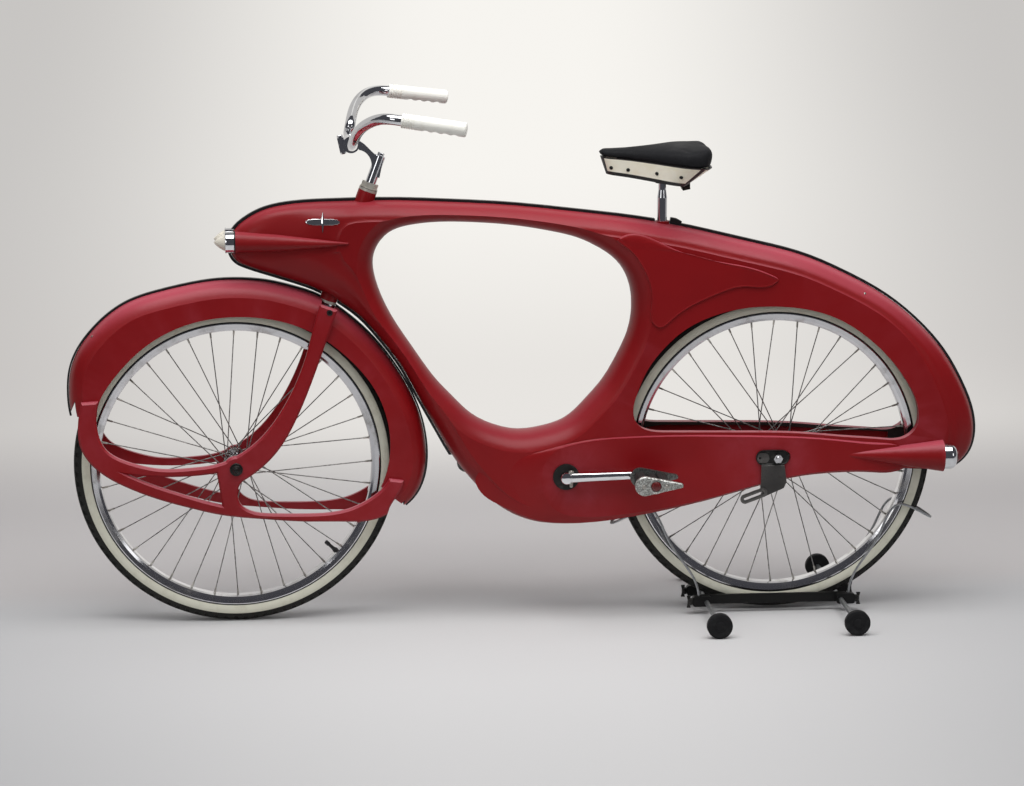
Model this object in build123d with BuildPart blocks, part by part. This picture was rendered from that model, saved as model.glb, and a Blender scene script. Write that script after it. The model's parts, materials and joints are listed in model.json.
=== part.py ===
from build123d import *
import math
import os

os.makedirs("parts", exist_ok=True)

# Streamlined bicycle with a moulded shell frame, resting in a low display stand.
# Millimetres. +X forward, +Y to the rider's left, +Z up, floor at Z = 0.
# Side outlines are written with x measured forward from the rear axle.

REAR_X = -512.0            # rear axle in the frame of the whole object
REAR_Z = 334.0             # rear axle height, the wheel held 4 mm off the floor
FRONT_X = 1110.0           # front axle, from the rear axle
FRONT_Z = 330.0
TYRE_R = 330.0             # 26 inch balloon tyre
TYRE_HALF = 21.5
RIM_R = 277.0              # inside of the rim, where the spokes end

BODY_HALF = 62.0           # half width of the shell frame
STAY_HALF = 67.0           # half width over the boom that carries the rear axle
SEAM = 0.5                 # between a shell half and the strip that covers its seam
LAMP_Y, LAMP_Z = 25.0, 791.0    # headlamps, side by side in the nose
WELL_R = 345.0             # wheel wells
WELL_HALF = 42.0

HEAD_X, HEAD_Z = 919.0, 663.5   # lower end of the steering head
HEAD_TILT = 20.3                # degrees back from upright
STEERER_R = 12.7
QUILL_R = 11.0
BAR_R = 11.0
GRIP_R, GRIP_LEN = 14.5, 126.0
RUN = 0.05                      # radial running clearance on every pin

FENDER_HALF = 50.0
FORK_THICK = 13.0

POST_X = 235.0
POST_R = 10.0

CRANK_X, CRANK_Z = 437.0, 303.0
CRANK_LEN = 170.0
SPINDLE_R = 11.0
PEDAL_PIN_R = 5.0
AXLE_R = 4.75

FOOT_R = 26.0
FOOT_Y = 237.0
ROD_X = 141.0


def side(y=0.0):
    """Side plane at a given Y: local x forward from the rear axle, local y up."""
    return Plane(origin=(REAR_X, y, 0), x_dir=(1, 0, 0), z_dir=(0, -1, 0))


def across(x, y, z):
    """Plane facing +Y at a point, for round things whose axis runs across."""
    return Plane(origin=(REAR_X + x, y, z), x_dir=(1, 0, 0), z_dir=(0, 1, 0))


tilt = math.radians(HEAD_TILT)
HEAD_DIR = (-math.sin(tilt), 0, math.cos(tilt))


def head(s):
    """Plane square to the steering axis, s above the lower end of the head."""
    return Plane(
        origin=(REAR_X + HEAD_X + s * HEAD_DIR[0], 0, HEAD_Z + s * HEAD_DIR[2]),
        x_dir=(math.cos(tilt), 0, math.sin(tilt)),
        z_dir=HEAD_DIR,
    )


def shifted(points, d, closed=False):
    """The same outline moved d to the left of its direction of travel."""
    out = []
    last = len(points) - 1
    for k, (x, z) in enumerate(points):
        x0, z0 = points[k - 1 if k or closed else 0]
        x1, z1 = points[(k + 1) % len(points) if closed else min(k + 1, last)]
        n = math.hypot(x1 - x0, z1 - z0)
        out.append((x - d * (z1 - z0) / n, z + d * (x1 - x0) / n))
    return out


LEFT = (0, 1, 0)

# ---------------------------------------------------------------- frame outlines

BACK = [
    (1092, 743), (1112, 762), (1113, 802), (1081, 836), (1050, 852), (998, 864),
    (912, 869), (793, 870), (669, 865), (545, 857), (420, 843), (316, 830),
    (191, 808), (66, 778), (-60, 744), (-142, 708), (-229, 659), (-309, 592),
    (-351, 543), (-391, 475), (-415, 414), (-420, 368), (-407, 325), (-375, 298),
]
UNDERSIDE = [
    (-288, 289), (-193, 292), (-138, 292), (-41, 284), (28, 269), (145, 238),
    (252, 212), (358, 194), (437, 191), (499, 198), (546, 216), (586, 244),
    (624, 284), (657, 325), (684, 369), (703, 404), (735, 462), (770, 527),
    (813, 586), (856, 634), (896, 664), (943, 691), (994, 710), (1050, 728),
]
BIG_OPENING = [
    (826, 752), (815, 782), (794, 804), (750, 819), (700, 824), (628, 823),
    (537, 815), (462, 802), (409, 788), (362, 765), (325, 735), (303, 693),
    (297, 641), (306, 589), (327, 542), (356, 492), (392, 450), (434, 412),
    (480, 396), (530, 390), (578, 400), (628, 426), (664, 461), (695, 494),
    (745, 564), (785, 625), (810, 675), (823, 715),
]
ARCH = [
    (-294, 409), (-292, 435), (-271, 483), (-234, 534), (-185, 581), (-123, 621),
    (-58, 642), (6, 649), (75, 646), (137, 631), (191, 605), (237, 565),
    (270, 521), (290, 475), (298, 446), (297, 423), (286, 405), (262, 394),
    (225, 391), (120, 389), (21, 387), (-58, 383), (-137, 375), (-219, 368),
    (-258, 368), (-284, 384),
]
BOOM_FOOT = [
    (560, 341), (505, 360), (450, 376), (380, 383), (290, 387), (225, 388),
    (120, 386), (21, 383), (-58, 379), (-137, 371), (-219, 363), (-275, 350),
    (-285, 325), (-250, 299), (-193, 298), (-138, 299), (-41, 291), (28, 276),
    (145, 245), (252, 222), (358, 206), (437, 203), (500, 212), (560, 238),
    (612, 272), (622, 300), (602, 324),
]
BOOM_TOP = [
    (420, 370), (380, 377), (290, 382), (225, 383), (120, 381), (21, 378),
    (-58, 374), (-137, 366), (-219, 358), (-268, 346), (-276, 326), (-246, 306),
    (-193, 304), (-138, 305), (-41, 297), (28, 282), (145, 251), (252, 230),
    (358, 218), (420, 219), (462, 236), (482, 268), (487, 305), (476, 338),
    (453, 360),
]
PANEL = [
    (332, 792), (326, 796), (216, 770), (100, 739), (14, 713), (3, 704), (10, 696),
    (71, 691), (129, 676), (187, 649), (222, 623), (247, 609), (260, 618),
    (263, 655), (269, 705), (288, 744), (316, 775),
]

# Half width of the shell, and how far the outline has shrunk by then: inset all
# round, and the share that is left of the nose and of the tail.
SECTIONS = [
    (0, 0, 1.0, 1.0), (13, 1, 0.99, 1.0), (27, 4, 0.95, 0.99), (40, 10, 0.80, 0.96),
    (50, 18, 0.60, 0.91), (57, 26, 0.42, 0.86), (BODY_HALF, 36, 0.25, 0.80),
]
NOSE_X, TAIL_X = 840, -250

# The opening's lip rolls outwards in the same way, from the seam to past the side.
LIP = [
    (-6, 0), (0, 0), (13, 1), (27, 4), (40, 10), (50, 18), (57, 26), (62, 36), (70, 52),
]


def contour(inset, nose, tail):
    """Shell outline at one half width."""
    out = []
    for x, z in shifted(BACK + UNDERSIDE, inset, closed=True):
        if x > NOSE_X:
            x = NOSE_X + (x - NOSE_X) * nose
        elif x < TAIL_X:
            x = TAIL_X + (x - TAIL_X) * tail
        out.append((x, z))
    return out


# ------------------------------------------------------------- shell frame halves

with BuildPart() as body_left:
    for half, inset, nose, tail in SECTIONS:
        with BuildSketch(side(half)):
            with BuildLine():
                Spline(*contour(inset, nose, tail), periodic=True)
            make_face()
    loft()
    for half, grow in LIP:
        with BuildSketch(side(half)):
            with BuildLine():
                Spline(*shifted(BIG_OPENING, -grow, closed=True), periodic=True)
            make_face()
    loft(mode=Mode.SUBTRACT)

    # the boom along the chain line swells out of the side, and so does the panel
    for half, outline in ((BODY_HALF - 5, BOOM_FOOT), (STAY_HALF, BOOM_TOP)):
        with BuildSketch(side(half)):
            with BuildLine():
                Spline(*outline, periodic=True)
            make_face()
    loft()
    for half, inset in ((BODY_HALF - 4, 0), (BODY_HALF + 1, 0), (BODY_HALF + 3, 4)):
        with BuildSketch(side(half)):
            with BuildLine():
                Spline(*shifted(PANEL, inset, closed=True), periodic=True)
            make_face()
    loft()

    # lamp pods grow out of the sides at nose and tail
    for x, y, r in ((878, 64, 1.5), (940, 60, 9), (1020, 45, 17), (1105, LAMP_Y, 22)):
        with BuildSketch(Plane(origin=(REAR_X + x, y, LAMP_Z), z_dir=(1, 0, 0))):
            Circle(r)
    loft(ruled=True)
    with BuildSketch(Plane(origin=(REAR_X - 125, 62, 337), z_dir=(-1, 0, 0))):
        Circle(1.5)
    with BuildSketch(Plane(origin=(REAR_X - 345, 64, 332), z_dir=(-1, 0, 0))):
        Circle(33)
    loft()

    # head collars and seat socket
    with BuildSketch(head(3)):
        Circle(18)
    extrude(amount=40)
    with BuildSketch(head(200)):
        Circle(19)
    extrude(amount=40)
    with BuildSketch(Plane.XY.offset(790)):
        with Locations((REAR_X + POST_X, 0)):
            Circle(15)
    extrude(amount=30)
    split(bisect_by=Plane.XZ, keep=Keep.BOTTOM)

    # wheel well, arch, hollow behind the stay
    with BuildSketch(across(0, 0, REAR_Z)):
        Circle(WELL_R)
    extrude(amount=WELL_HALF, mode=Mode.SUBTRACT)
    with BuildSketch(side()):
        with BuildLine():
            Spline(*ARCH, periodic=True)
        make_face()
    extrude(amount=120, dir=LEFT, mode=Mode.SUBTRACT)
    with BuildSketch(side(WELL_HALF - 1)):
        with BuildLine():
            Polyline(
                (-250, 362), (-137, 369), (21, 381), (225, 385), (262, 380),
                (262, 222), (145, 245), (28, 276), (-41, 294), (-138, 307),
                (-250, 303), close=True,
            )
        make_face()
    extrude(amount=15, dir=LEFT, mode=Mode.SUBTRACT)

    # bores for head, post, bottom bracket and rear axle
    with BuildSketch(head(-20)):
        Circle(16)
    extrude(amount=280, mode=Mode.SUBTRACT)
    with BuildSketch(Plane.XY.offset(765)):
        with Locations((REAR_X + POST_X, 0)):
            Circle(POST_R + RUN)
    extrude(amount=80, mode=Mode.SUBTRACT)
    with BuildSketch(across(CRANK_X, 0, CRANK_Z)):
        Circle(19)
    extrude(amount=100, mode=Mode.SUBTRACT)
    with BuildSketch(across(4, 0, REAR_Z + 2)):
        SlotOverall(62, 26)
    extrude(amount=100, mode=Mode.SUBTRACT)
body_left.part.label = "body_left"
export_step(body_left.part, "parts/body_left.step")

with BuildPart() as body_right:
    mirror(body_left.part, about=Plane.XZ)
body_right.part.label = "body_right"
export_step(body_right.part, "parts/body_right.step")

with BuildPart() as body_trim:
    with BuildSketch(side(-5.5)):
        with BuildLine():
            Spline(*shifted(BACK + UNDERSIDE, -5.5, closed=True), periodic=True)
        make_face()
        with BuildLine():
            Spline(*shifted(BACK + UNDERSIDE, -SEAM, closed=True), periodic=True)
        make_face(mode=Mode.SUBTRACT)
        with BuildLine():
            Polyline((-372, 340), (-372, 100), (720, 100), (680, 340), close=True)
        make_face(mode=Mode.SUBTRACT)
        with Locations((1120, LAMP_Z)):
            Rectangle(50, 48, mode=Mode.SUBTRACT)
    extrude(amount=11, dir=LEFT)
    with BuildSketch(head(-30)):
        Circle(19.5)
    extrude(amount=320, mode=Mode.SUBTRACT)
    with BuildSketch(Plane.XY.offset(770)):
        with Locations((REAR_X + POST_X, 0)):
            Circle(16)
    extrude(amount=80, mode=Mode.SUBTRACT)
body_trim.part.label = "body_trim"
export_step(body_trim.part, "parts/body_trim.step")
print("frame done")

# ----------------------------------------------------------------------- lamps

with BuildPart() as headlamp_rings:
    for y in (LAMP_Y, -LAMP_Y):
        with BuildSketch(Plane(origin=(REAR_X + 1105, y, LAMP_Z), z_dir=(1, 0, 0))):
            Circle(21.5)
        extrude(amount=20)
    chamfer(faces().sort_by(Axis.X)[-2:].edges(), 2)
    add(body_left.part, mode=Mode.SUBTRACT)
    add(body_right.part, mode=Mode.SUBTRACT)
headlamp_rings.part.label = "headlamp_rings"
export_step(headlamp_rings.part, "parts/headlamp_rings.step")

with BuildPart() as headlamp_lenses:
    for y in (LAMP_Y, -LAMP_Y):
        axis = Axis((REAR_X + 1125, y, LAMP_Z), (1, 0, 0))
        with BuildSketch(Plane(origin=axis.position, x_dir=(1, 0, 0), z_dir=(0, -1, 0))):
            with BuildLine():
                Polyline((23, 0), (0, 0), (0, 18))
                Spline((0, 18), (10, 12.5), (18, 6), (23, 0))
            make_face()
        revolve(axis=axis)
headlamp_lenses.part.label = "headlamp_lenses"
export_step(headlamp_lenses.part, "parts/headlamp_lenses.step")

with BuildPart() as tail_lamp_rings:
    for y in (64, -64):
        with BuildSketch(Plane(origin=(REAR_X - 345, y, 331), z_dir=(-1, 0, 0))):
            Circle(27)
        extrude(amount=28)
    fillet(faces().filter_by(Axis.X).sort_by(Axis.X)[:2].edges(), 13)
    add(body_left.part, mode=Mode.SUBTRACT)
    add(body_right.part, mode=Mode.SUBTRACT)
tail_lamp_rings.part.label = "tail_lamp_rings"
export_step(tail_lamp_rings.part, "parts/tail_lamp_rings.step")

with BuildPart() as tail_lamp_lenses:
    for y in (64, -64):
        with BuildSketch(Plane(origin=(REAR_X - 373, y, 331), z_dir=(-1, 0, 0))):
            Circle(13)
        extrude(amount=4)
    fillet(faces().filter_by(Axis.X).sort_by(Axis.X)[:2].edges(), 2)
    add(body_left.part, mode=Mode.SUBTRACT)
    add(body_right.part, mode=Mode.SUBTRACT)
tail_lamp_lenses.part.label = "tail_lamp_lenses"
export_step(tail_lamp_lenses.part, "parts/tail_lamp_lenses.step")
print("lamps done")

# ----------------------------------------------------------------- steering head

with BuildPart() as head_cups:
    with BuildSketch(head(-2)):
        Circle(18)
        Circle(STEERER_R + RUN, mode=Mode.SUBTRACT)
    extrude(amount=5)
    with BuildSketch(head(3)):
        Circle(16)
        Circle(STEERER_R + RUN, mode=Mode.SUBTRACT)
    extrude(amount=12)
    with BuildSketch(head(240)):
        Circle(19)
        Circle(STEERER_R + RUN, mode=Mode.SUBTRACT)
    extrude(amount=5)
    with BuildSketch(head(228)):
        Circle(16)
        Circle(STEERER_R + RUN, mode=Mode.SUBTRACT)
    extrude(amount=12)
head_cups.part.label = "head_cups"
export_step(head_cups.part, "parts/head_cups.step")

with BuildPart() as fork_crown:
    with BuildSketch(head(-24)):
        with Locations((-2, 0)):
            Rectangle(28, 2 * FENDER_HALF)
    extrude(amount=17)
    with BuildSketch(head(-7)):
        Circle(17)
    extrude(amount=4)
    with BuildSketch(head(-30)):
        Circle(STEERER_R)
    extrude(amount=40, mode=Mode.SUBTRACT)
fork_crown.part.label = "fork_crown"
export_step(fork_crown.part, "parts/fork_crown.step")

with BuildPart() as steerer:
    with BuildSketch(head(-24)):
        Circle(STEERER_R)
        Circle(QUILL_R + RUN, mode=Mode.SUBTRACT)
    extrude(amount=24 + 258)
steerer.part.label = "steerer"
export_step(steerer.part, "parts/steerer.step")

with BuildPart() as head_locknut:
    with BuildSketch(head(246)):
        Circle(18.5)
        Circle(STEERER_R, mode=Mode.SUBTRACT)
    extrude(amount=2)
    with BuildSketch(head(248)):
        RegularPolygon(17, 6)
        Circle(STEERER_R, mode=Mode.SUBTRACT)
    extrude(amount=10)
head_locknut.part.label = "head_locknut"
export_step(head_locknut.part, "parts/head_locknut.step")

BAR_X, BAR_Z = 869.0, 985.0

with BuildPart() as stem:
    with BuildSketch(side(-9)):
        with BuildLine():
            Spline((832, 920), (828, 935), (829, 951), (837, 965), (853, 973))
            Line((853, 973), (858, 994))
            Spline((858, 994), (846, 988), (832, 975), (818, 962), (804, 954))
            Polyline((804, 954), (812, 916), (832, 920))
        make_face()
    extrude(amount=18, dir=LEFT)
    with BuildSketch(head(150)):
        Circle(QUILL_R)
    extrude(amount=166)
    with BuildSketch(head(316)):
        RegularPolygon(7, 6)
    extrude(amount=6)
    with BuildSketch(across(BAR_X, -20, BAR_Z)):
        Circle(17)
    extrude(amount=40)
    with BuildSketch(across(BAR_X, -30, BAR_Z)):
        Circle(BAR_R)
    extrude(amount=60, mode=Mode.SUBTRACT)
stem.part.label = "stem"
export_step(stem.part, "parts/stem.step")

with BuildPart() as handlebar:
    with BuildLine() as bar_line:
        Line((REAR_X + 662, -285, 1046), (REAR_X + 780, -262, 1062))
        Spline(
            (REAR_X + 780, -262, 1062), (REAR_X + 820, -238, 1062),
            (REAR_X + 852, -180, 1040), (REAR_X + 866, -110, 1007),
            (REAR_X + BAR_X, -24, BAR_Z),
            tangents=((118, 23, 16), (0, 1, 0)),
        )
        Line((REAR_X + BAR_X, -24, BAR_Z), (REAR_X + BAR_X, 24, BAR_Z))
        Spline(
            (REAR_X + BAR_X, 24, BAR_Z), (REAR_X + 866, 110, 1007),
            (REAR_X + 852, 180, 1040), (REAR_X + 820, 238, 1062),
            (REAR_X + 780, 262, 1062),
            tangents=((0, 1, 0), (-118, 23, -16)),
        )
        Line((REAR_X + 780, 262, 1062), (REAR_X + 662, 285, 1046))
    with BuildSketch(bar_line.line ^ 0):
        Circle(BAR_R)
    sweep(path=bar_line.line)
handlebar.part.label = "handlebar"
export_step(handlebar.part, "parts/handlebar.step")

with BuildPart() as grips:
    holds = [
        Plane(
            origin=(REAR_X + 780, s * 262, 1062), x_dir=(23 * s, 118, 0),
            z_dir=(-118, s * 23, -16),
        )
        for s in (1, -1)
    ]
    for hold in holds:
        with BuildSketch(hold):
            Circle(GRIP_R)
        extrude(amount=GRIP_LEN)
    fillet(edges().filter_by(GeomType.CIRCLE), 2)
    for hold in holds:
        # ribbed collar in front, then finger grooves underneath
        for k in range(5):
            with BuildSketch(hold.offset(4 + 5 * k)):
                Circle(GRIP_R + 2)
                Circle(GRIP_R - 1, mode=Mode.SUBTRACT)
            extrude(amount=2, mode=Mode.SUBTRACT)
        for k in range(4):
            start = hold.from_local_coords((-30, GRIP_R + 8, 50 + 19 * k))
            with BuildSketch(Plane(origin=start, z_dir=hold.x_dir)):
                Circle(11)
            extrude(amount=60, mode=Mode.SUBTRACT)
    add(handlebar.part, mode=Mode.SUBTRACT)
grips.part.label = "grips"
export_step(grips.part, "parts/grips.step")
print("head done")

# ------------------------------------------------------------------- front fender

FENDER_TOP = [
    (764, 238), (731, 282), (721, 330), (723, 378), (739, 443), (767, 501),
    (802, 554), (850, 609), (891, 644), (938, 675), (985, 692), (1036, 705),
    (1094, 711), (1145, 710), (1205, 701), (1262, 688), (1322, 668), (1369, 637),
    (1400, 606), (1426, 570), (1441, 533), (1446, 486), (1441, 436),
]
FENDER_CLOSE = [(1420, 385), (1360, 310), (1230, 240), (1110, 215), (960, 205), (830, 205)]
FENDER_IN = [
    (1389, 442), (1385, 468), (1368, 500), (1339, 537), (1298, 577), (1251, 608),
    (1192, 631), (1132, 641), (1064, 640), (993, 625), (925, 591), (872, 546),
    (832, 497), (807, 443), (796, 384), (800, 330), (815, 285),
]

with BuildPart() as fender_left:
    for half, inset in ((0, 0), (12, 1), (24, 4), (35, 10), (43, 18), (FENDER_HALF, 30)):
        with BuildSketch(side(half)):
            with BuildLine():
                Spline(*shifted(FENDER_TOP + FENDER_CLOSE, -inset, closed=True),
                       periodic=True)
            make_face()
    loft()
    with BuildSketch(side()):
        with BuildLine():
            Spline(*FENDER_IN)
            Polyline(
                (815, 285), (764, 238), (700, 150), (1500, 150), (1500, 436),
                (1389, 442),
            )
        make_face()
    extrude(amount=80, dir=LEFT, mode=Mode.SUBTRACT)
    with BuildSketch(across(FRONT_X, 0, FRONT_Z)):
        Circle(WELL_R + 7)
    extrude(amount=FENDER_HALF - 12, mode=Mode.SUBTRACT)
    with BuildSketch(across(FRONT_X, 0, FRONT_Z)):
        Circle(WELL_R - 12)
    extrude(amount=FENDER_HALF - 5, mode=Mode.SUBTRACT)
    with BuildSketch(head(-26)):
        with Locations((-2, 0)):
            Rectangle(29, 2 * FENDER_HALF + 10)
        Circle(18)
    extrude(amount=80, mode=Mode.SUBTRACT)
fender_left.part.label = "fender_left"
export_step(fender_left.part, "parts/fender_left.step")

with BuildPart() as fender_right:
    mirror(fender_left.part, about=Plane.XZ)
fender_right.part.label = "fender_right"
export_step(fender_right.part, "parts/fender_right.step")

with BuildPart() as fender_trim:
    with BuildSketch(side(-5)):
        with BuildLine():
            Spline(*shifted(FENDER_TOP + FENDER_CLOSE, 4.2, closed=True), periodic=True)
        make_face()
        with BuildLine():
            Spline(*shifted(FENDER_TOP + FENDER_CLOSE, SEAM, closed=True), periodic=True)
        make_face(mode=Mode.SUBTRACT)
        with BuildLine():
            Polyline(
                (700, 150), (764, 238), (1110, 500), (1441, 436), (1500, 430),
                (1500, 150), close=True,
            )
        make_face(mode=Mode.SUBTRACT)
    extrude(amount=10, dir=LEFT)
    with BuildSketch(head(-40)):
        Circle(19)
    extrude(amount=90, mode=Mode.SUBTRACT)
fender_trim.part.label = "fender_trim"
export_step(fender_trim.part, "parts/fender_trim.step")

# ---------------------------------------------------------------------- fork sides

with BuildPart() as fork_left:
    with BuildSketch(side(FENDER_HALF)):
        with BuildLine():
            Spline(
                (936, 667), (953, 608), (968, 554), (992, 494), (1025, 436),
                (1064, 389), (1113, 354), (1148, 340), (1199, 333), (1263, 332),
                (1316, 344), (1374, 377), (1389, 420), (1386, 474),
            )
            Line((1386, 474), (1420, 472))
            Spline(
                (1420, 472), (1427, 431), (1422, 376), (1384, 327), (1330, 295),
                (1263, 268), (1199, 249), (1148, 236), (1062, 225), (978, 218),
                (894, 216), (830, 219), (803, 230),
            )
            Spline((803, 230), (790, 258), (776, 280), (770, 299))
            Line((770, 299), (799, 303))
            Spline(
                (799, 303), (815, 281), (843, 260), (876, 244), (917, 235),
                (978, 233), (1045, 235), (1080, 241), (1103, 258), (1108, 276),
                (1098, 304),
            )
            Spline(
                (1098, 304), (1064, 327), (1025, 366), (992, 420), (966, 478),
                (937, 555), (921, 600), (901, 654),
            )
            Line((901, 654), (936, 667))
        make_face()
        with Locations((FRONT_X, FRONT_Z)):
            Circle(26)
        with BuildLine():
            Spline((1330, 323), (1279, 300), (1226, 281), (1174, 264), (1140, 255))
            Line((1140, 255), (1146, 300))
            Line((1146, 300), (1150, 322))
            Spline((1150, 322), (1199, 317), (1269, 317), (1330, 323))
        make_face(mode=Mode.SUBTRACT)
    extrude(amount=FORK_THICK, dir=LEFT)
    chamfer(faces().sort_by(Axis.Y)[-1].edges(), 4)
    with BuildSketch(across(FRONT_X, 0, FRONT_Z)):
        Circle(AXLE_R + RUN)
    extrude(amount=100, mode=Mode.SUBTRACT)
fork_left.part.label = "fork_left"
export_step(fork_left.part, "parts/fork_left.step")

with BuildPart() as fork_right:
    mirror(fork_left.part, about=Plane.XZ)
fork_right.part.label = "fork_right"
export_step(fork_right.part, "parts/fork_right.step")
print("fork done")

# --------------------------------------------------------------------------- axles

with BuildPart() as front_axle:
    with BuildSketch(across(FRONT_X, -76, FRONT_Z)):
        Circle(AXLE_R)
    extrude(amount=152)
    for y, run in ((-FENDER_HALF, 9), (FENDER_HALF - 9, 9)):
        with BuildSketch(across(FRONT_X, y, FRONT_Z)):
            Circle(8)
        extrude(amount=run)
    for y, run in ((-72, 9), (FENDER_HALF + FORK_THICK, 9)):
        with BuildSketch(across(FRONT_X, y, FRONT_Z)):
            RegularPolygon(9.5, 6)
        extrude(amount=run)
front_axle.part.label = "front_axle"
export_step(front_axle.part, "parts/front_axle.step")

with BuildPart() as rear_axle:
    with BuildSketch(across(0, -83, REAR_Z)):
        Circle(AXLE_R)
    extrude(amount=166)
    for y, run in ((-STAY_HALF, 25), (42, 25)):
        with BuildSketch(across(0, y, REAR_Z)):
            Circle(9)
        extrude(amount=run)
    for y, run in ((-79, 8), (STAY_HALF + 4, 8)):
        with BuildSketch(across(0, y, REAR_Z)):
            RegularPolygon(9.5, 6)
        extrude(amount=run)
rear_axle.part.label = "rear_axle"
export_step(rear_axle.part, "parts/rear_axle.step")

with BuildPart() as axle_brackets:
    with BuildSketch(side(STAY_HALF)):
        with BuildLine():
            Polyline(
                (-18, 318), (-26, 282), (-4, 268), (60, 244), (72, 250), (66, 258),
                (34, 272), (34, 319), close=True,
            )
        make_face()
        with Locations((8, REAR_Z)):
            SlotOverall(56, 30)
    extrude(amount=4, dir=LEFT)
    with BuildSketch(across(0, 0, REAR_Z)):
        Circle(AXLE_R + RUN)
    extrude(amount=100, mode=Mode.SUBTRACT)
    mirror(axle_brackets.part, about=Plane.XZ)
axle_brackets.part.label = "axle_brackets"
export_step(axle_brackets.part, "parts/axle_brackets.step")

# -------------------------------------------------------------------------- wheels
# Each wheel is drawn in a plane through its axis: local x is the radius.


def wheel_plane(x, z):
    return Plane(origin=(REAR_X + x, 0, z), x_dir=(1, 0, 0), z_dir=(0, 0, 1))


for tag, wx, wz in (("front", FRONT_X, FRONT_Z), ("rear", 0.0, REAR_Z)):
    spin = Axis((REAR_X + wx, 0, wz), (0, 1, 0))

    with BuildPart() as tyre:
        with BuildSketch(wheel_plane(wx, wz)):
            with BuildLine():
                Spline(
                    (286, -13), (297, -16), (308, -TYRE_HALF), (322, -16),
                    (TYRE_R, 0), (322, 16), (308, TYRE_HALF), (297, 16), (286, 13),
                )
                Line((286, 13), (286, -13))
            make_face()
        revolve(axis=spin)
    tyre.part.label = tag + "_tyre"
    export_step(tyre.part, "parts/" + tag + "_tyre.step")

    with BuildPart() as rim:
        with BuildSketch(wheel_plane(wx, wz)):
            with BuildLine():
                Polyline(
                    (294, -19), (294, -16.5), (285, -14), (285, 14), (294, 16.5),
                    (294, 19), (292, 19.5), (284, 18), (279, 15), (RIM_R, 9),
                    (RIM_R, -9), (279, -15), (284, -18), (292, -19.5), close=True,
                )
            make_face()
        revolve(axis=spin)
        add(tyre.part, mode=Mode.SUBTRACT)
    rim.part.label = tag + "_rim"
    export_step(rim.part, "parts/" + tag + "_rim.step")

    with BuildPart() as hub:
        with BuildSketch(across(wx, -38, wz)):
            Circle(15 if tag == "front" else 26)
        extrude(amount=76)
        for y in (-36, 32):
            with BuildSketch(across(wx, y, wz)):
                Circle(24 if tag == "front" else 34)
            extrude(amount=4)
        with BuildSketch(across(wx, -40, wz)):
            Circle(AXLE_R + RUN)
        extrude(amount=80, mode=Mode.SUBTRACT)
    hub.part.label = tag + "_hub"
    export_step(hub.part, "parts/" + tag + "_hub.step")

    with BuildPart() as spokes:
        flange = 20.0 if tag == "front" else 30.0
        for k in range(36):
            ang = math.radians(10 * k)
            wind = math.radians(62 if k % 4 < 2 else -62)
            yside = 1 if k % 2 == 0 else -1
            y0 = yside * (37.2 if k % 4 < 2 else 30.8)
            p = (
                REAR_X + wx + flange * math.cos(ang - wind), y0,
                wz + flange * math.sin(ang - wind),
            )
            q = (
                REAR_X + wx + RIM_R * math.cos(ang), yside * 2.0,
                wz + RIM_R * math.sin(ang),
            )
            run = tuple(b - a for a, b in zip(p, q))
            with BuildSketch(Plane(origin=p, z_dir=run)):
                Circle(1.1)
            extrude(amount=math.dist(p, q))
        add(hub.part, mode=Mode.SUBTRACT)
        add(rim.part, mode=Mode.SUBTRACT)
    spokes.part.label = tag + "_spokes"
    export_step(spokes.part, "parts/" + tag + "_spokes.step")
print("wheels done")

# ---------------------------------------------------------------- crank and pedals

with BuildPart() as bb_cups:
    for y in (44, -STAY_HALF):
        with BuildSketch(across(CRANK_X, y, CRANK_Z)):
            Circle(19)
            Circle(SPINDLE_R + RUN, mode=Mode.SUBTRACT)
        extrude(amount=STAY_HALF - 44)
    for y in (STAY_HALF, -STAY_HALF - 5):
        with BuildSketch(across(CRANK_X, y, CRANK_Z)):
            Circle(27)
            Circle(SPINDLE_R + RUN, mode=Mode.SUBTRACT)
        extrude(amount=5)
bb_cups.part.label = "bb_cups"
export_step(bb_cups.part, "parts/bb_cups.step")

lift = 4.0
with BuildPart() as crank:
    with BuildSketch(across(CRANK_X, -86, CRANK_Z)):
        Circle(SPINDLE_R)
    extrude(amount=172)
    for s in (1, -1):
        with BuildSketch(side(76 if s > 0 else -88)):
            with BuildLine():
                Polyline(
                    (CRANK_X, CRANK_Z - 10),
                    (CRANK_X - s * CRANK_LEN, CRANK_Z + s * lift - 8),
                    (CRANK_X - s * CRANK_LEN, CRANK_Z + s * lift + 8),
                    (CRANK_X, CRANK_Z + 10), close=True,
                )
            make_face()
            with Locations(
                (CRANK_X - s * CRANK_LEN, CRANK_Z + s * lift),
            ):
                Circle(12)
            with Locations((CRANK_X, CRANK_Z)):
                Circle(14)
        extrude(amount=12, dir=LEFT)
    for s in (1, -1):
        with BuildSketch(across(
            CRANK_X - s * CRANK_LEN, -100, CRANK_Z + s * lift,
        )):
            Circle(PEDAL_PIN_R + 2)
        extrude(amount=200, mode=Mode.SUBTRACT)
crank.part.label = "crank"
export_step(crank.part, "parts/crank.step")

with BuildPart() as pedal_spindles:
    for s in (1, -1):
        px, pz = CRANK_X - s * CRANK_LEN, CRANK_Z + s * lift
        with BuildSketch(across(px, 76 if s > 0 else -88, pz)):
            Circle(PEDAL_PIN_R + 2)
        extrude(amount=12)
        with BuildSketch(across(px, 88 if s > 0 else -96, pz)):
            Circle(PEDAL_PIN_R + 4)
        extrude(amount=8)
        with BuildSketch(across(px, 96 if s > 0 else -182, pz)):
            Circle(PEDAL_PIN_R)
        extrude(amount=86)
pedal_spindles.part.label = "pedal_spindles"
export_step(pedal_spindles.part, "parts/pedal_spindles.step")

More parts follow.
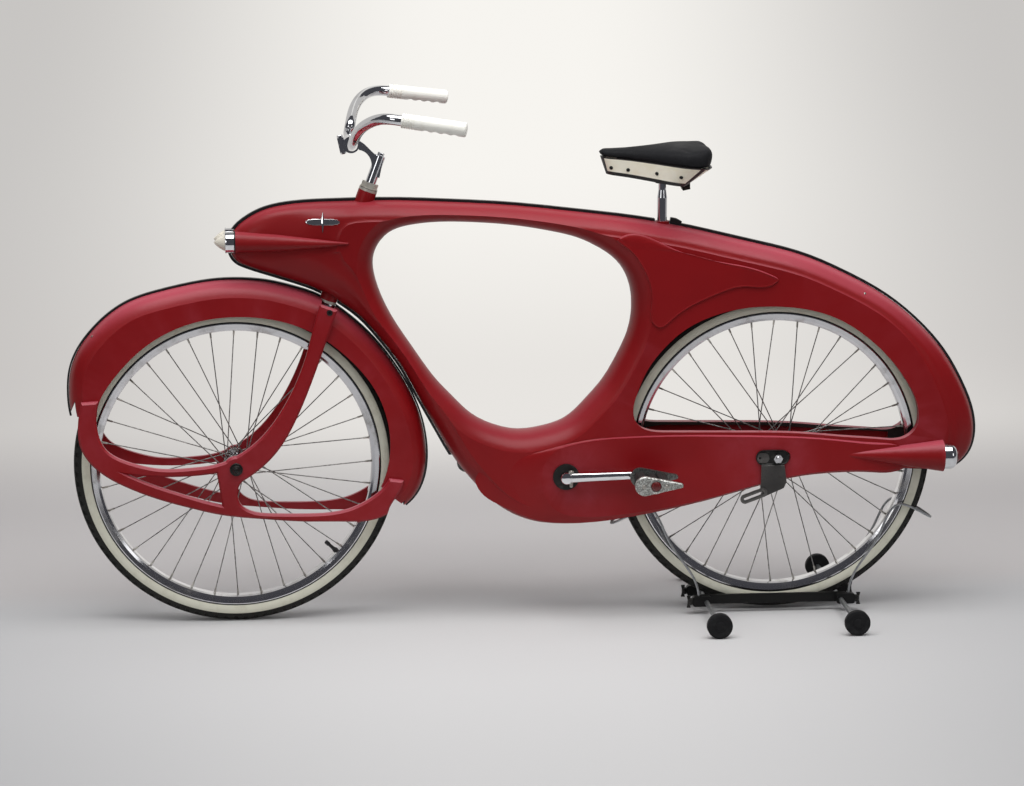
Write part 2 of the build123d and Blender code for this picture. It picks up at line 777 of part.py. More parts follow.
for tag, s in (("left", 1), ("right", -1)):
    px, pz = CRANK_X - s * CRANK_LEN, CRANK_Z + s * lift
    with BuildPart() as pedal:
        for y in (s * 104 - 4, s * 186 - 4):
            with BuildSketch(side(y)):
                with Locations((px + 22, pz)):
                    Circle(20)
                with Locations((px - 51, pz)):
                    Circle(5)
                make_hull()
            extrude(amount=8, dir=LEFT)
        chamfer(faces().sort_by(Axis.Y)[-1 if s > 0 else 0].edges(), 2)
        for dx, depth in ((24, 26), (-19, 22)):
            with BuildSketch(across(px + dx, s * 145 - 40, pz)):
                RectangleRounded(19, depth, 4)
            extrude(amount=80)
        with BuildSketch(across(px, s * 145 - 41, pz)):
            Circle(11)
        extrude(amount=82)
        with BuildSketch(across(px, s * 140 - 43, pz)):
            Circle(PEDAL_PIN_R + RUN)
        extrude(amount=86, mode=Mode.SUBTRACT)
    pedal.part.label = "pedal_" + tag
    export_step(pedal.part, "parts/pedal_" + tag + ".step")
print("crank done")

# -------------------------------------------------------------------------- saddle

with BuildPart() as seat_post:
    with BuildSketch(Plane.XY.offset(768)):
        with Locations((REAR_X + POST_X, 0)):
            Circle(POST_R)
    extrude(amount=100)
    with BuildSketch(Plane.XY.offset(868)):
        with Locations((REAR_X + POST_X, 0)):
            Circle(POST_R)
    with BuildSketch(Plane.XY.offset(884)):
        with Locations((REAR_X + POST_X, 0)):
            Circle(8)
    loft()
    with BuildSketch(Plane.XY.offset(884)):
        with Locations((REAR_X + POST_X, 0)):
            Circle(8)
    extrude(amount=46)
seat_post.part.label = "seat_post"
export_step(seat_post.part, "parts/seat_post.step")

SEAT = [
    (366, 0), (358, 18), (325, 25), (285, 40), (235, 74), (190, 98), (155, 92),
    (139, 50), (137, 0), (139, -50), (155, -92), (190, -98), (235, -74), (285, -40),
    (325, -25), (358, -18),
]
SKIRT_FOOT = [
    (353, 0), (345, 12), (319, 18), (288, 30), (253, 50), (222, 66), (203, 62),
    (195, 34), (194, 0), (195, -34), (203, -62), (222, -66), (253, -50), (288, -30),
    (319, -18), (345, -12),
]


def saddle_plane(front, rear):
    """Plane across the saddle, given its heights at the tip and at the back."""
    slope = (front - rear) / 225
    return Plane(
        origin=(REAR_X, 0, rear - 140 * slope), x_dir=(1, 0, slope), z_dir=(-slope, 0, 1),
    )


with BuildPart() as saddle_top:
    for front, rear, inset in (
        (955, 936, 1), (961, 950, 0), (966, 964, 3), (968, 970, 8), (969, 973, 18),
    ):
        with BuildSketch(saddle_plane(front, rear)):
            with BuildLine():
                Spline(*shifted(SEAT, inset, closed=True), periodic=True)
            make_face()
    loft()
saddle_top.part.label = "saddle_top"
export_step(saddle_top.part, "parts/saddle_top.step")

with BuildPart() as saddle_skirt:
    for gap, mode in ((0, Mode.ADD), (4, Mode.SUBTRACT)):
        with BuildSketch(saddle_plane(954.7, 935.7)):
            with BuildLine():
                Spline(*shifted(SEAT, 2 + gap, closed=True), periodic=True)
            make_face()
        with BuildSketch(saddle_plane(920, 890)):
            with BuildLine():
                Spline(*shifted(SKIRT_FOOT, gap, closed=True), periodic=True)
            make_face()
        loft(mode=mode)
saddle_skirt.part.label = "saddle_skirt"
export_step(saddle_skirt.part, "parts/saddle_skirt.step")

with BuildPart() as saddle_clamp:
    with BuildSketch(saddle_plane(947, 928)):
        with BuildLine():
            Polyline(
                (330, 8), (285, 20), (235, 50), (190, 72), (165, 64), (158, 0),
                (165, -64), (190, -72), (235, -50), (285, -20), (330, -8), close=True,
            )
        make_face()
    extrude(amount=7.7)
    with BuildSketch(Plane.XY.offset(898)):
        with Locations((REAR_X + POST_X, 0)):
            Circle(14)
    extrude(amount=38)
    with BuildSketch(side(-14)):
        with BuildLine():
            Polyline(
                (228, 932), (200, 932), (181, 902), (179, 886), (194, 883), (200, 895),
                (228, 905), close=True,
            )
        make_face()
    extrude(amount=28, dir=LEFT)
    add(seat_post.part, mode=Mode.SUBTRACT)
    add(saddle_skirt.part, mode=Mode.SUBTRACT)
saddle_clamp.part.label = "saddle_clamp"
export_step(saddle_clamp.part, "parts/saddle_clamp.step")
print("saddle done")

# ------------------------------------------------------------------- display stand

with BuildPart() as stand_rods:
    for x in (-ROD_X, ROD_X):
        with BuildSketch(across(x, -FOOT_Y, FOOT_R)):
            Circle(5)
        extrude(amount=2 * FOOT_Y)
stand_rods.part.label = "stand_rods"
export_step(stand_rods.part, "parts/stand_rods.step")

with BuildPart() as stand_feet:
    for x in (-ROD_X, ROD_X):
        for y in (-FOOT_Y - 8, FOOT_Y - 8):
            with BuildSketch(across(x, y, FOOT_R)):
                Circle(FOOT_R)
            extrude(amount=16)
    fillet(edges().filter_by(GeomType.CIRCLE), 3)
    add(stand_rods.part, mode=Mode.SUBTRACT)
stand_feet.part.label = "stand_feet"
export_step(stand_feet.part, "parts/stand_feet.step")

with BuildPart() as stand_bars:
    for y in (-38, 32):
        with BuildSketch(side(y)):
            with Locations((0, 29)):
                Rectangle(2 * ROD_X + 20, 20)
        extrude(amount=6, dir=LEFT)
    add(stand_rods.part, mode=Mode.SUBTRACT)
stand_bars.part.label = "stand_bars"
export_step(stand_bars.part, "parts/stand_bars.step")

with BuildPart() as stand_hoops:
    for s in (1, -1):
        with BuildLine() as hoop:
            Spline(
                (REAR_X + s * 158, 44, 28), (REAR_X + s * 161, 42, 60),
                (REAR_X + s * 197, 36, 120), (REAR_X + s * 222, 34, 160),
                (REAR_X + s * 262, 30, 222), (REAR_X + s * 300, 28, 210),
                (REAR_X + s * 336, 0, 188), (REAR_X + s * 300, -28, 210),
                (REAR_X + s * 262, -30, 222), (REAR_X + s * 222, -34, 160),
                (REAR_X + s * 197, -36, 120), (REAR_X + s * 161, -42, 60),
                (REAR_X + s * 158, -44, 28),
            )
        with BuildSketch(hoop.line ^ 0):
            Circle(2.5)
        sweep(path=hoop.line)
stand_hoops.part.label = "stand_hoops"
export_step(stand_hoops.part, "parts/stand_hoops.step")

with BuildPart() as stand_clamps:
    for x in (-ROD_X, ROD_X):
        for y in (-52, 38):
            with BuildSketch(side(y)):
                with Locations((x + (10 if x > 0 else -10), 28)):
                    RectangleRounded(38, 22, 5)
            extrude(amount=14, dir=LEFT)
    add(stand_rods.part, mode=Mode.SUBTRACT)
    add(stand_hoops.part, mode=Mode.SUBTRACT)
stand_clamps.part.label = "stand_clamps"
export_step(stand_clamps.part, "parts/stand_clamps.step")
print("stand done")
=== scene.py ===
import json
import math

import bpy
from mathutils import Matrix, Vector

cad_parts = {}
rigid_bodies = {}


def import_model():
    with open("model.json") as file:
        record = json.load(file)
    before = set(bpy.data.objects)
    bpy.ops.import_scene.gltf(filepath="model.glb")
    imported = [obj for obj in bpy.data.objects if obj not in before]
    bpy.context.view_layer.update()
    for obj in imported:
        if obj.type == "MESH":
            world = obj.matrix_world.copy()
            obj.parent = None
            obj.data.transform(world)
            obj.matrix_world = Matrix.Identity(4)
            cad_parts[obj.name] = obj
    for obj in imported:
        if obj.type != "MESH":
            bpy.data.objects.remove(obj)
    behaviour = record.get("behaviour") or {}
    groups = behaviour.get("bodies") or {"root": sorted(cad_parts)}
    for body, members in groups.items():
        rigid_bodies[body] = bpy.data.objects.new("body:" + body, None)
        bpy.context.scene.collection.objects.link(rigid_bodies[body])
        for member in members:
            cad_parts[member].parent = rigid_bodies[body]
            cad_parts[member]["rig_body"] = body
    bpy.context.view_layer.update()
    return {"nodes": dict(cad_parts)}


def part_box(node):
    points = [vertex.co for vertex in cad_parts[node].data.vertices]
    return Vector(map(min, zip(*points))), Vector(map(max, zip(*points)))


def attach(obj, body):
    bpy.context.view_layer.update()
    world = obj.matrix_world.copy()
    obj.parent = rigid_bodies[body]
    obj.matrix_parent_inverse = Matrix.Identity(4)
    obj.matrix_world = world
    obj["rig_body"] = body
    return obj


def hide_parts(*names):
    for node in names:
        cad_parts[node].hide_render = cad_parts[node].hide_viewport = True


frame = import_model()
node = frame["nodes"]

# ---------------------------------------------------------------------------
# Shell frame. Two moulded glass-fibre halves in deep red gelcoat, bonded down
# the middle. The outside is polished; where it faces up, a pinkish sheen is
# painted into its colour, most towards the tail. The wheel well was never painted.


class Shade:
    """One shader socket that adds, multiplies and compares like a number."""

    def __init__(self, finish, socket):
        self.finish, self.socket = finish, socket

    def math(self, operation, *values):
        settings = {"operation": operation}
        return self.finish.node("ShaderNodeMath", settings, dict(enumerate(values)))

    def __add__(self, other):
        return self.math("ADD", self, other)

    def __sub__(self, other):
        return self.math("SUBTRACT", self, other)

    def __rsub__(self, other):
        return self.math("SUBTRACT", other, self)

    def __mul__(self, other):
        return self.math("MULTIPLY", self, other)

    def __pow__(self, other):
        return self.math("POWER", self, other)

    __radd__, __rmul__ = __add__, __mul__

    def size(self):
        return self.math("ABSOLUTE", self)

    def wave(self):
        return self.math("SINE", self)

    def greater(self, other):
        return self.math("MAXIMUM", self, other)

    def ramp(self, start, end):
        """0 up to start, 1 from end on, and a soft step between them."""
        settings = {"interpolation_type": "SMOOTHSTEP"}
        return self.finish.node(
            "ShaderNodeMapRange", settings, {0: self, 1: start, 2: end}
        )


class Finish:
    """A surface finish: a Principled material on Object coordinates."""

    def __init__(self, name, color, rough, metal=0.0, coat=0.0, coat_rough=0.1):
        self.material = bpy.data.materials.new(name)
        self.material.use_nodes = True
        self.tree = self.material.node_tree
        self.shader = self.tree.nodes["Principled BSDF"]
        self.place = self.node("ShaderNodeTexCoord", out="Object")
        self.feed("Base Color", (*color, 1.0))
        self.feed("Roughness", rough)
        self.feed("Metallic", metal)
        self.feed("Coat Weight", coat)
        self.feed("Coat Roughness", coat_rough)

    def link(self, socket, value):
        if isinstance(value, Shade):
            self.tree.links.new(value.socket, socket)
        else:
            socket.default_value = value

    def feed(self, name, value):
        self.link(self.shader.inputs[name], value)

    def node(self, kind, settings=None, values=None, out=0):
        made = self.tree.nodes.new(kind)
        for key, value in (settings or {}).items():
            setattr(made, key, value)
        for key, value in (values or {}).items():
            self.link(made.inputs[key], value)
        return Shade(self, made.outputs[out])

    def axes(self):
        return [
            self.node("ShaderNodeSeparateXYZ", {}, {0: self.place}, axis)
            for axis in "XYZ"
        ]

    def from_axle(self, hub):
        """Distance from an axle that runs across the bicycle."""
        x, _, z = self.axes()
        return ((x - hub.x) ** 2 + (z - hub.z) ** 2) ** 0.5

    def noise(self, scale, detail=3.0, rough=0.55, stretch=None):
        point = self.place
        if stretch:
            point = self.node("ShaderNodeMapping", {}, {"Vector": point, "Scale": stretch})
        values = {"Vector": point, "Scale": scale, "Detail": detail, "Roughness": rough}
        return self.node("ShaderNodeTexNoise", {}, values)

    def cells(self, scale):
        values = {"Vector": self.place, "Scale": scale}
        return self.node("ShaderNodeTexVoronoi", {}, values, "Distance")

    def mix(self, mask, first, second):
        """The first colour where the mask is 0 and the second where it is 1."""
        values = {0: mask}
        for key, value in ((6, first), (7, second)):
            values[key] = value if isinstance(value, Shade) else (*value, 1.0)
        return self.node("ShaderNodeMix", {"data_type": "RGBA"}, values, 2)

    def facing_up(self):
        normal = self.node("ShaderNodeNewGeometry", out="Normal")
        return self.node("ShaderNodeSeparateXYZ", {}, {0: normal}, "Z")

    def edges(self):
        """1 along sharp outward edges: where a finish wears first, and where the bracket
        plates get a painted highlight.
        """
        return self.node("ShaderNodeNewGeometry", out="Pointiness").ramp(0.52, 0.6)

    def wear(self, mask, clean, worn, rough, worn_rough):
        """Colour and roughness go from clean to worn as the mask goes from 0 to 1."""
        self.feed("Base Color", self.mix(mask, clean, worn))
        self.feed("Roughness", rough + mask * (worn_rough - rough))

    def bump(self, height, strength, distance=0.001):
        values = {"Strength": strength, "Distance": distance, "Height": height}
        self.feed("Normal", self.node("ShaderNodeBump", {}, values))

    def onto(self, *objects):
        for target in objects:
            target.data.materials.clear()
            target.data.materials.append(self.material)


SHELL_RED = (0.235, 0.0045, 0.0065)
SHELL_SHEEN_AND_WEAR = (0.430, 0.0720, 0.1020)
SHELL_DEEP = (0.170, 0.0035, 0.0050)
BARE_FIBRE_AND_SHADE = (0.020, 0.012, 0.011)


def middle(name):
    """The middle of a CAD node's box."""
    low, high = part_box(name)
    return (low + high) / 2


rear_hub, front_hub = middle("rear_axle"), middle("front_axle")


def gelcoat(name, hub, well_radius, well_half, front_sheen):
    """Red gelcoat with painted pinkish sheen where it faces up, and a dark wheel well."""
    paint = Finish(name, SHELL_RED, 0.42, coat=0.14, coat_rough=0.24)
    paint.feed("Specular IOR Level", 0.18)
    x, y, _ = paint.axes()
    cloud = paint.noise(3.2, 4.0)
    fine = paint.noise(38.0, 2.0)
    color = paint.mix(cloud.ramp(0.36, 0.70) * 0.6, SHELL_RED, SHELL_DEEP)
    # Painted sheen: faces that look up are mixed towards pale pink, standing in for the
    # overhead light's broad reflection, with a strength that changes from tail to front.
    # Sharp edges get a little of the same colour as wear.
    sheen = 0.8 - x.ramp(-0.55, 0.05) * (0.8 - front_sheen)
    color = paint.mix(paint.facing_up().ramp(0.30, 0.95) * sheen, color, SHELL_SHEEN_AND_WEAR)
    color = paint.mix(paint.edges() * fine * 0.35, color, SHELL_SHEEN_AND_WEAR)
    # Dark well: in the shell this is the bare laminate of the unpainted well; in the fender,
    # whose inside is red gelcoat, the same dark colour is painted shade.
    inside = 1 - y.size().ramp(well_half, well_half + 0.0008)
    inside = inside * (1 - paint.from_axle(hub).ramp(well_radius, well_radius + 0.001))
    paint.feed("Base Color", paint.mix(inside, color, BARE_FIBRE_AND_SHADE))
    scuffs = paint.noise(90.0, 5.0, 0.7, (0.35, 1.0, 1.0)).ramp(0.62, 0.78)
    paint.feed("Roughness", 0.38 + fine * 0.08 + scuffs * 0.12 + inside * 0.4)
    paint.feed("Coat Weight", 0.14 - inside * 0.14)
    paint.bump(paint.noise(420.0, 1.0) * 0.4 + paint.noise(26.0, 1.0), 0.10)
    return paint


shell_paint = gelcoat(
    "shell_gelcoat", rear_hub, well_radius=0.3455, well_half=0.0425, front_sheen=0.28
)
shell_paint.onto(node["body_left"], node["body_right"])

# ---------------------------------------------------------------------------
# Front fender and fork sides. Moulded in the same red gelcoat; each side of the
# fork is one curved lattice bonded to the fender by its flat pads.

# In the fender the dark well colour is painted shade, and the painted sheen on upward faces
# is almost as strong at the front as at the tail.
fender_paint = gelcoat(
    "fender_gelcoat", front_hub, well_radius=0.3525, well_half=0.0380, front_sheen=0.85
)
fender_paint.onto(
    node["fender_left"], node["fender_right"], node["fork_left"], node["fork_right"]
)

# ---------------------------------------------------------------------------
# Seam strips. Black moulding of soft plastic over the joint between the halves,
# with a raised end piece just behind the saddle post.


def started(add, **settings):
    """A new primitive at its size and place, with nothing else selected."""
    bpy.ops.object.select_all(action="DESELECT")
    add(**settings)
    return bpy.context.object


def edit_all():
    """Enters edit mode with the whole of the active piece selected."""
    bpy.ops.object.mode_set(mode="EDIT")
    bpy.ops.mesh.select_all(action="SELECT")


def edit_done():
    """Leaves edit mode."""
    bpy.ops.object.mode_set(mode="OBJECT")


def faced_out():
    """Merges the doubles of the active piece and turns its faces out."""
    edit_all()
    bpy.ops.mesh.remove_doubles(threshold=0.00001)
    bpy.ops.mesh.normals_make_consistent(inside=False)
    edit_done()


def settle(piece, name, body, finish, smooth=32):
    """Turns the faces out, applies the place to the mesh and hands the piece over."""
    faced_out()
    bpy.ops.object.transform_apply(location=True, rotation=True, scale=True)
    bpy.ops.object.shade_smooth_by_angle(angle=math.radians(smooth))
    piece.name = name
    finish.onto(piece)
    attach(piece, body)
    return piece


def pick(piece, kind, chosen):
    """Selects the vertices, edges or faces that pass a test, and enters edit mode."""
    bpy.ops.object.mode_set(mode="EDIT")
    bpy.ops.mesh.select_mode(type=kind)
    bpy.ops.mesh.select_all(action="DESELECT")
    edit_done()
    mesh = piece.data
    for part in {"VERT": mesh.vertices, "EDGE": mesh.edges, "FACE": mesh.polygons}[kind]:
        part.select = chosen(part)
    bpy.ops.object.mode_set(mode="EDIT")


def modified(piece, kind, **settings):
    """Gives the active piece a modifier with these settings and applies it."""
    modifier = piece.modifiers.new(kind.lower(), kind)
    for key, value in settings.items():
        setattr(modifier, key, value)
    bpy.ops.object.modifier_apply(modifier=modifier.name)


def rounded(piece, width, segments=3, angle=30):
    """Rounds the sharp edges of a piece."""
    modified(
        piece, "BEVEL", width=width, segments=segments, limit_method="ANGLE",
        angle_limit=math.radians(angle),
    )


strip = Finish("seam_strip", (0.010, 0.010, 0.011), 0.40)
rubbed = strip.noise(60.0, 4.0).ramp(0.55, 0.75) * 0.5
strip.wear(rubbed, (0.010, 0.010, 0.011), (0.035, 0.035, 0.036), 0.36, 0.76)
strip.bump(strip.noise(180.0), 0.15)
strip.onto(node["body_trim"], node["fender_trim"])

STRIP_END_SIZE, STRIP_END_SET, STRIP_END_Z = (0.012, 0.011, 0.009), 0.0225, 0.8215
TOP_SLOPE = -11

strip_end = started(
    bpy.ops.mesh.primitive_cube_add, size=1, rotation=(0, math.radians(TOP_SLOPE), 0),
    location=(middle("seat_post").x - STRIP_END_SET, 0, STRIP_END_Z),
)
strip_end.scale = STRIP_END_SIZE
pick(strip_end, "FACE", lambda face: face.normal.x < -0.9)
bpy.ops.mesh.extrude_region_move(TRANSFORM_OT_translate={"value": (-0.012, 0, -0.004)})
bpy.ops.transform.resize(value=(1, 0.8, 0.4))
edit_done()
bpy.ops.object.transform_apply(location=False, rotation=False, scale=True)
rounded(strip_end, 0.0012)
settle(strip_end, "strip_end", "frame", strip)

# ---------------------------------------------------------------------------
# Nose motif and studs. A slim upright dart through a flat bar, pressed in brass
# and chromed, on each side of the nose, and small nickelled rivets near the tail
# and on the fender.

chrome = Finish("bright_chrome", (0.74, 0.75, 0.77), 0.07, metal=1.0)
haze = chrome.noise(55.0, 4.0).ramp(0.5, 0.8) * 0.5
chrome.wear(haze, (0.78, 0.79, 0.81), (0.58, 0.57, 0.56), 0.05, 0.25)
chrome.bump(chrome.noise(14.0, 1.0), 0.04)

nickel = Finish("dull_nickel", (0.42, 0.40, 0.36), 0.34, metal=1.0)
tarnish = nickel.noise(70.0, 5.0, 0.65).ramp(0.45, 0.7)
nickel.wear(tarnish, (0.50, 0.48, 0.44), (0.26, 0.24, 0.21), 0.30, 0.55)
nickel.bump(nickel.noise(240.0, 3.0), 0.15)


def turned(place, way, profile, sides=28, closed=False):
    """A lathe-turned piece. The profile is (radius, distance along the way)."""
    place, way = Vector(place), Vector(way).normalized()
    radius, along = profile[0]
    piece = started(
        bpy.ops.mesh.primitive_circle_add, vertices=sides, radius=radius,
        location=place + way * along, rotation=way.to_track_quat("Z", "Y").to_euler(),
        fill_type="NOTHING" if closed else "NGON",
    )
    bpy.ops.object.mode_set(mode="EDIT")
    bpy.ops.mesh.select_mode(type="VERT")
    bpy.ops.mesh.select_all(action="SELECT")
    for next_radius, next_along in profile[1:] + profile[:1] * closed:
        bpy.ops.mesh.extrude_region_move(
            TRANSFORM_OT_translate={"value": way * (next_along - along)}
        )
        grow = next_radius / radius
        bpy.ops.transform.resize(
            value=(grow, grow, grow), center_override=place + way * next_along
        )
        radius, along = next_radius, next_along
    edit_done()
    return piece


def squeezed(scale, center):
    """Scales the whole of a new piece about a point."""
    edit_all()
    bpy.ops.transform.resize(value=scale, center_override=Vector(center))
    edit_done()


def skin(part, start, way=(0, -1, 0)):
    """Where a line from the start meets a part, and the way its skin faces."""
    return node[part].ray_cast(start, way)[1:3]


def placed(piece):
    """Moves the place of a piece into its mesh."""
    piece.data.transform(piece.matrix_world)
    piece.matrix_world = Matrix.Identity(4)


def copied(piece, change):
    """A copy with its own mesh, moved, turned or mirrored."""
    twin = piece.copy()
    twin.data = piece.data.copy()
    bpy.context.collection.objects.link(twin)
    twin.data.transform(change)
    return twin


def on_right(piece):
    """The mirrored twin of a finished piece on the left."""
    twin = copied(piece, Matrix.Scale(-1, 4, (0, 1, 0)))
    twin.name = piece.name.replace("left", "right")
    twin.data.flip_normals()
    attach(twin, piece["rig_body"])


BADGE_X, BADGE_Z, DART, BAR, BAR_WALL, BAR_AWAY = 0.417, 0.834, 0.042, 0.068, 0.0018, 0.2

place, facing = skin("body_left", (BADGE_X, 1, BADGE_Z))
dart_foot = place - Vector((0, 0, DART / 2))
dart = turned(
    dart_foot, (0, 0, 1),
    [(0.0004, 0), (0.0022, 0.012), (0.0036, 0.023), (0.0020, 0.033), (0.0003, DART)], 8,
)
squeezed((1, 0.7, 1), place)
placed(dart)
tilted = facing.to_track_quat("Y", "Z").to_matrix().to_4x4()
dart.data.transform(Matrix.Translation(place) @ tilted @ Matrix.Translation(-place))
on_right(settle(dart, "badge_dart_left", "frame", chrome, 20))

FACE_OUT = (math.radians(-90), 0, 0)

bar = started(
    bpy.ops.mesh.primitive_grid_add, x_subdivisions=26, y_subdivisions=4, size=1,
    location=(BADGE_X, BAR_AWAY, BADGE_Z), rotation=FACE_OUT,
)
bar.scale = (BAR, 0.0120, 1)
bpy.ops.object.transform_apply(location=True, rotation=True, scale=True)
for reach, taper in ((0.012, 0.80), (0.004, 0.55)):
    pick(bar, "VERT", lambda point: abs(point.co.x - BADGE_X) > BAR / 2 - reach)
    bpy.ops.transform.resize(
        value=(1, 1, taper), center_override=(BADGE_X, BAR_AWAY, BADGE_Z)
    )
    edit_done()
modified(
    bar, "SHRINKWRAP", target=node["body_left"], wrap_method="PROJECT", offset=0.0002,
    use_project_y=True, use_negative_direction=True, use_positive_direction=True,
)
modified(bar, "SOLIDIFY", thickness=BAR_WALL, offset=0.0)
rounded(bar, 0.0005, 2, 50)
on_right(settle(bar, "badge_bar_left", "frame", chrome))

RIVET = [
    (0.0040, -0.002), (0.0040, 0.0003), (0.0036, 0.0010), (0.0024, 0.0016),
    (0.0008, 0.0019),
]

for name, part, x, z, size, body in (
    ("tail_stud", "body_left", -0.691, 0.671, 0.7, "frame"),
    ("fender_rivet", "fender_left", 0.884, 0.603, 0.6, "steering"),
):
    place, facing = skin(part, (x, 1, z))
    stud = turned(place, facing, [(r * size, a * size) for r, a in RIVET], 20)
    on_right(settle(stud, name + "_left", body, nickel))

# ---------------------------------------------------------------------------
# Lamps. Chromed rings at the ends of the pods. The front ones hold frosted plastic
# cones in a rolled bead; the rear ones end in a dome with a small red lens.

chrome.onto(node["headlamp_rings"], node["tail_lamp_rings"])

lens = Finish("frosted_lens", (0.80, 0.79, 0.74), 0.22, coat=0.6, coat_rough=0.05)
depth = lens.noise(70.0, 3.0)
lens.wear(depth, (0.80, 0.76, 0.66), (0.60, 0.55, 0.46), 0.20, 0.35)
lens.bump(lens.noise(300.0), 0.08)
lens.onto(node["headlamp_lenses"])

ruby = Finish("ruby_lens", (0.12, 0.004, 0.005), 0.22, coat=0.3, coat_rough=0.05)
facets = ruby.cells(900.0)
ruby.feed("Base Color", ruby.mix(facets, (0.15, 0.005, 0.006), (0.06, 0.002, 0.003)))
ruby.bump(facets, 0.5, 0.0006)
ruby.onto(node["tail_lamp_lenses"])

LAMP_Y, LAMP_SIDES = 0.025, 48
ring_low, ring_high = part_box("headlamp_rings")
lamp_z = (ring_low.z + ring_high.z) / 2
bead = turned((ring_high.x, LAMP_Y, lamp_z), (1, 0, 0), [
    (0.0206, -0.0030), (0.0222, -0.0028), (0.0226, -0.0016), (0.0222, -0.0004),
    (0.0206, 0.0004), (0.0196, 0.0),
], LAMP_SIDES, closed=True)
on_right(settle(bead, "headlamp_bead_left", "frame", chrome))
gasket = turned((ring_low.x, LAMP_Y, lamp_z), (1, 0, 0), [
    (0.0212, -0.0006), (0.0229, 0.0000), (0.0229, 0.0018), (0.0212, 0.0026),
], LAMP_SIDES, closed=True)
on_right(settle(gasket, "headlamp_gasket_left", "frame", strip))

# ---------------------------------------------------------------------------
# Steering head, stem and bar. Chromed forged stem with its wedge bolt on top and
# a slotted clamp in front, nickelled races and locknut, white plastic grips.

chrome.onto(
    node["stem"], node["handlebar"], node["steerer"], node["fork_crown"],
    node["seat_post"], node["pedal_spindles"],
)

race_nickel = Finish("race_nickel", (0.60, 0.58, 0.52), 0.42, metal=0.55)
spotted = race_nickel.noise(80.0, 5.0)
race_nickel.feed(
    "Base Color", race_nickel.mix(spotted, (0.66, 0.64, 0.57), (0.42, 0.40, 0.35))
)
race_nickel.onto(node["head_cups"], node["head_locknut"])

grip = Finish("white_grip_plastic", (0.78, 0.76, 0.70), 0.36, coat=0.25)
grime = grip.noise(45.0, 5.0, 0.6).ramp(0.55, 0.8) * 0.5
grip.wear(grime, (0.88, 0.87, 0.81), (0.68, 0.63, 0.52), 0.34, 0.74)
grip.bump(grip.noise(260.0), 0.12)
grip.onto(node["grips"])

HEAD_TILT = math.radians(20.3)
HEAD_WAY = Vector((-math.sin(HEAD_TILT), 0, math.cos(HEAD_TILT)))
HEAD_FOOT, STEM_TOP = Vector((0.407, 0, 0.6635)), 0.3165
HEX_HEAD = [
    (0.0078, 0.0), (0.0078, 0.0008), (0.0070, 0.0009), (0.0072, 0.0050),
    (0.0062, 0.0060), (0.0030, 0.0062),
]
wedge_bolt = turned(HEAD_FOOT + HEAD_WAY * STEM_TOP, HEAD_WAY, HEX_HEAD, 6)
rounded(wedge_bolt, 0.0004, 2)
settle(wedge_bolt, "stem_wedge_bolt", "steering", chrome, 25)

LUG_X, LUG_Z, LUG_TILT, LUG_LEAN, LUG_SLOT = 0.3755, 0.9835, 12, 0.21, 0.0007

lug = started(
    bpy.ops.mesh.primitive_cube_add, size=1, location=(LUG_X, 0, LUG_Z),
    rotation=(0, math.radians(LUG_TILT), 0),
)
lug.scale = (0.013, 0.018, 0.030)
bpy.ops.object.mode_set(mode="EDIT")
bpy.ops.mesh.bevel(offset=0.0025, segments=3, affect="EDGES")
for height in (LUG_Z - LUG_SLOT, LUG_Z + LUG_SLOT):
    bpy.ops.mesh.select_all(action="SELECT")
    bpy.ops.mesh.bisect(plane_co=(LUG_X, 0, height), plane_no=(0, 0, 1))
edit_done()
bpy.ops.object.transform_apply(location=True, rotation=True, scale=True)
pick(lug, "FACE", lambda face: abs(face.center.z - LUG_Z) < LUG_SLOT)
bpy.ops.mesh.extrude_region_shrink_fatten(TRANSFORM_OT_shrink_fatten={"value": -0.002})
edit_done()
settle(lug, "stem_clamp_lug", "steering", chrome)
for name, height, way in (("head", 0.9985, 1), ("nut", 0.9685, -1)):
    bolt = turned(
        (LUG_X + (height - LUG_Z) * LUG_LEAN, 0, height), (LUG_LEAN * way, 0, way),
        [(r * 0.85, a * 0.7) for r, a in HEX_HEAD], 6,
    )
    settle(bolt, "stem_clamp_" + name, "steering", chrome, 25)

SIDES = ((1, "left"), (-1, "right"))
GRIP_START, GRIP_WAY, GRIP_LENGTH = (0.268, 0.262, 1.062), (-0.118, 0.023, -0.016), 0.126

for side, tag in SIDES:
    across = Vector((1, side, 1))
    hold = (Vector(GRIP_WAY) * across).normalized()
    end = Vector(GRIP_START) * across + hold * GRIP_LENGTH
    cap = turned(end, hold, [
        (0.0120, -0.003), (0.0140, -0.001), (0.0142, 0.0005), (0.0125, 0.0020),
        (0.0080, 0.0028), (0.0022, 0.0024),
    ], 32)
    settle(cap, "grip_end_" + tag, "steering", grip)

# ---------------------------------------------------------------------------
# Fork bolts. One black pinch bolt at the top of each fork side, and the front
# axle's black washers and domed nuts.

black_metal = Finish("black_metal", (0.022, 0.021, 0.020), 0.38, metal=0.5)
rub = black_metal.noise(70.0, 5.0).ramp(0.5, 0.75)
black_metal.wear(rub, (0.014, 0.014, 0.013), (0.05, 0.047, 0.044), 0.34, 0.54)
black_metal.onto(node["saddle_clamp"], node["front_axle"])

FORK_BOLT = (0.405, 0.0625, 0.6500)
fork_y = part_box("fork_left")[1].y

